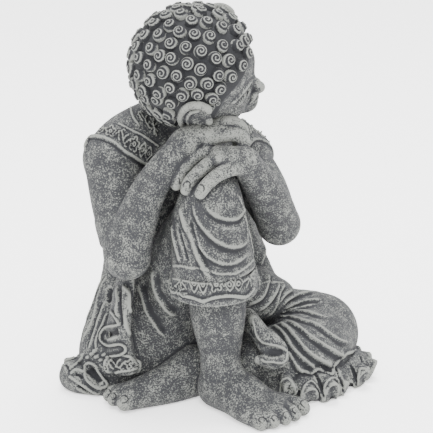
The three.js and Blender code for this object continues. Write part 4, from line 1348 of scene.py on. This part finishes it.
def stone():
    """Dark cast stone with pale paint brushed dry over what stands proud."""
    material = bpy.data.materials.new("cast_stone")
    material.use_nodes = True
    nodes, links = material.node_tree.nodes, material.node_tree.links
    shader = nodes["Principled BSDF"]
    shader.inputs["Roughness"].default_value = STONE_ROUGHNESS
    coords = nodes.new("ShaderNodeTexCoord").outputs["Object"]

    def maths(operation, *inputs):
        node = nodes.new("ShaderNodeMath")
        node.operation = operation
        for socket, source in zip(node.inputs, inputs):
            if isinstance(source, (int, float)):
                socket.default_value = source
            else:
                links.new(source, socket)
        return node.outputs[0]

    def noise(scale, detail, roughness):
        node = nodes.new("ShaderNodeTexNoise")
        node.inputs["Scale"].default_value = scale
        node.inputs["Detail"].default_value = detail
        node.inputs["Roughness"].default_value = roughness
        links.new(coords, node.inputs["Vector"])
        return node.outputs["Fac"]

    def step(source, low, high):
        node = nodes.new("ShaderNodeMapRange")
        node.interpolation_type = "SMOOTHSTEP"
        node.inputs["From Min"].default_value = low
        node.inputs["From Max"].default_value = high
        links.new(source, node.inputs["Value"])
        return node.outputs["Result"]

    def mix(factor, a, b):
        node = nodes.new("ShaderNodeMix")
        node.data_type = "RGBA"
        links.new(factor, node.inputs["Factor"])
        for socket, source in ((node.inputs["A"], a), (node.inputs["B"], b)):
            if isinstance(source, tuple):
                socket.default_value = (*source, 1)
            else:
                links.new(source, socket)
        return node.outputs["Result"]

    raised = nodes.new("ShaderNodeAttribute")
    raised.attribute_name = "raised"
    raised = raised.outputs["Fac"]
    speckle = noise(SPECKLE_SCALE, 3, 0.75)
    patch = noise(PATCH_SCALE, 3, 0.6)
    brushed = maths("ADD", maths("MULTIPLY", raised, RAISED_PAINT), maths("MULTIPLY", patch, PATCH_PAINT))
    brushed = maths("ADD", brushed, speckle)
    paint = step(brushed, PAINT_START, PAINT_FULL)
    hollow = step(raised, DEEPEST_HOLLOW, 0.0)
    dark = mix(hollow, SHADOW_STONE, BARE_STONE)
    links.new(mix(paint, dark, PAINTED_STONE), shader.inputs["Base Color"])
    bump = nodes.new("ShaderNodeBump")
    bump.inputs["Strength"].default_value = 0.5
    bump.inputs["Distance"].default_value = SPECKLE_BUMP
    links.new(speckle, bump.inputs["Height"])
    links.new(bump.outputs["Normal"], shader.inputs["Normal"])
    return material


STONE = stone()


def piece(name, points, quads, nodes, raised):
    """A mesh of the scene that stands in for nodes of the model."""
    mesh = bpy.data.meshes.new(name)
    mesh.vertices.add(len(points))
    mesh.vertices.foreach_set("co", ((points - MIDDLE) / 1000).astype(np.float32).ravel())
    mesh.loops.add(quads.size)
    mesh.loops.foreach_set("vertex_index", quads.ravel().astype(np.int32))
    mesh.polygons.add(len(quads))
    mesh.polygons.foreach_set("loop_start", np.arange(0, quads.size, quads.shape[1], dtype=np.int32))
    mesh.update(calc_edges=True)
    mesh.validate()
    mesh.shade_smooth()
    layer = mesh.attributes.new("raised", "FLOAT", "POINT")
    layer.data.foreach_set("value", raised.astype(np.float32))
    mesh.materials.append(STONE)
    obj = bpy.data.objects.new(name, mesh)
    bpy.context.scene.collection.objects.link(obj)
    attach(obj, "root")
    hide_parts(*nodes)


EVENING_ROUNDS = 4
# The pieces with the finest relief, whose meshes are made twice as fine.
REFINED = {
    "knee_drape_border", "shoulder_robe_right", "shoulder_robe_left", "cloth_fold", "right_hand", "left_hand",
    "robe_edge", "left_foot", "right_foot",
}
relief = [stroke for stroke in RELIEF if stroke.lay(whole, body)]
for name, (points, quads) in pieces.items():
    points = evened(points, quads, EVENING_ROUNDS)
    spacing = HEAD_VOXEL if name in HEAD_FORMS else VOXEL
    if name in REFINED:
        points, quads = refined(points, quads)
        spacing /= 2
    normals = vertex_normals(points, quads)
    shift = np.zeros(len(points))
    for stroke in relief:
        if name in stroke.nodes:
            stroke.press(points, normals, shift)
    points = points + normals * shift[:, None]
    points[:, 2] = np.maximum(points[:, 2], 0)
    raised = raised_by(points, quads, spacing) + PAINT_TAKEN.get(name, 0)
    piece(name + "_stone", points, quads, [name], raised)
points, quads, raised = curl_mesh()
piece("hair_curls", points, quads, ["hair"], raised)

# Floor and light, in metres and watts.
FLOOR_SIZE = 8
FLOOR_GAP = 0.0004
FLOOR_LOOK = {
    "Base Color": (0.9, 0.9, 0.9, 1), "Roughness": 0.9,
    "Emission Color": (1, 1, 1, 1), "Emission Strength": 1.0,
}
WORLD_STRENGTH = 2.4
LIGHTS_AIM = Vector((0, 0, 0.1))

bpy.ops.mesh.primitive_plane_add(size=FLOOR_SIZE, location=(0, 0, -FLOOR_GAP))
floor = bpy.context.object
floor.name = "floor"
paint = bpy.data.materials.new("floor")
paint.use_nodes = True
for name, value in FLOOR_LOOK.items():
    paint.node_tree.nodes["Principled BSDF"].inputs[name].default_value = value
floor.data.materials.append(paint)

world = bpy.data.worlds.new("world")
world.use_nodes = True
world.node_tree.nodes["Background"].inputs["Color"].default_value = (1, 1, 1, 1)
world.node_tree.nodes["Background"].inputs["Strength"].default_value = WORLD_STRENGTH
bpy.context.scene.world = world


def area_light(name, location, size, power):
    light = bpy.data.lights.new(name, "AREA")
    light.shape = "DISK"
    light.size = size
    light.energy = power
    lamp = bpy.data.objects.new(name, light)
    lamp.location = location
    lamp.rotation_euler = (LIGHTS_AIM - Vector(location)).to_track_quat("-Z", "Y").to_euler()
    bpy.context.scene.collection.objects.link(lamp)


area_light("key", (-0.9, -0.9, 1.5), 0.7, 44)
area_light("top", (0.3, 0.2, 1.6), 0.9, 34)
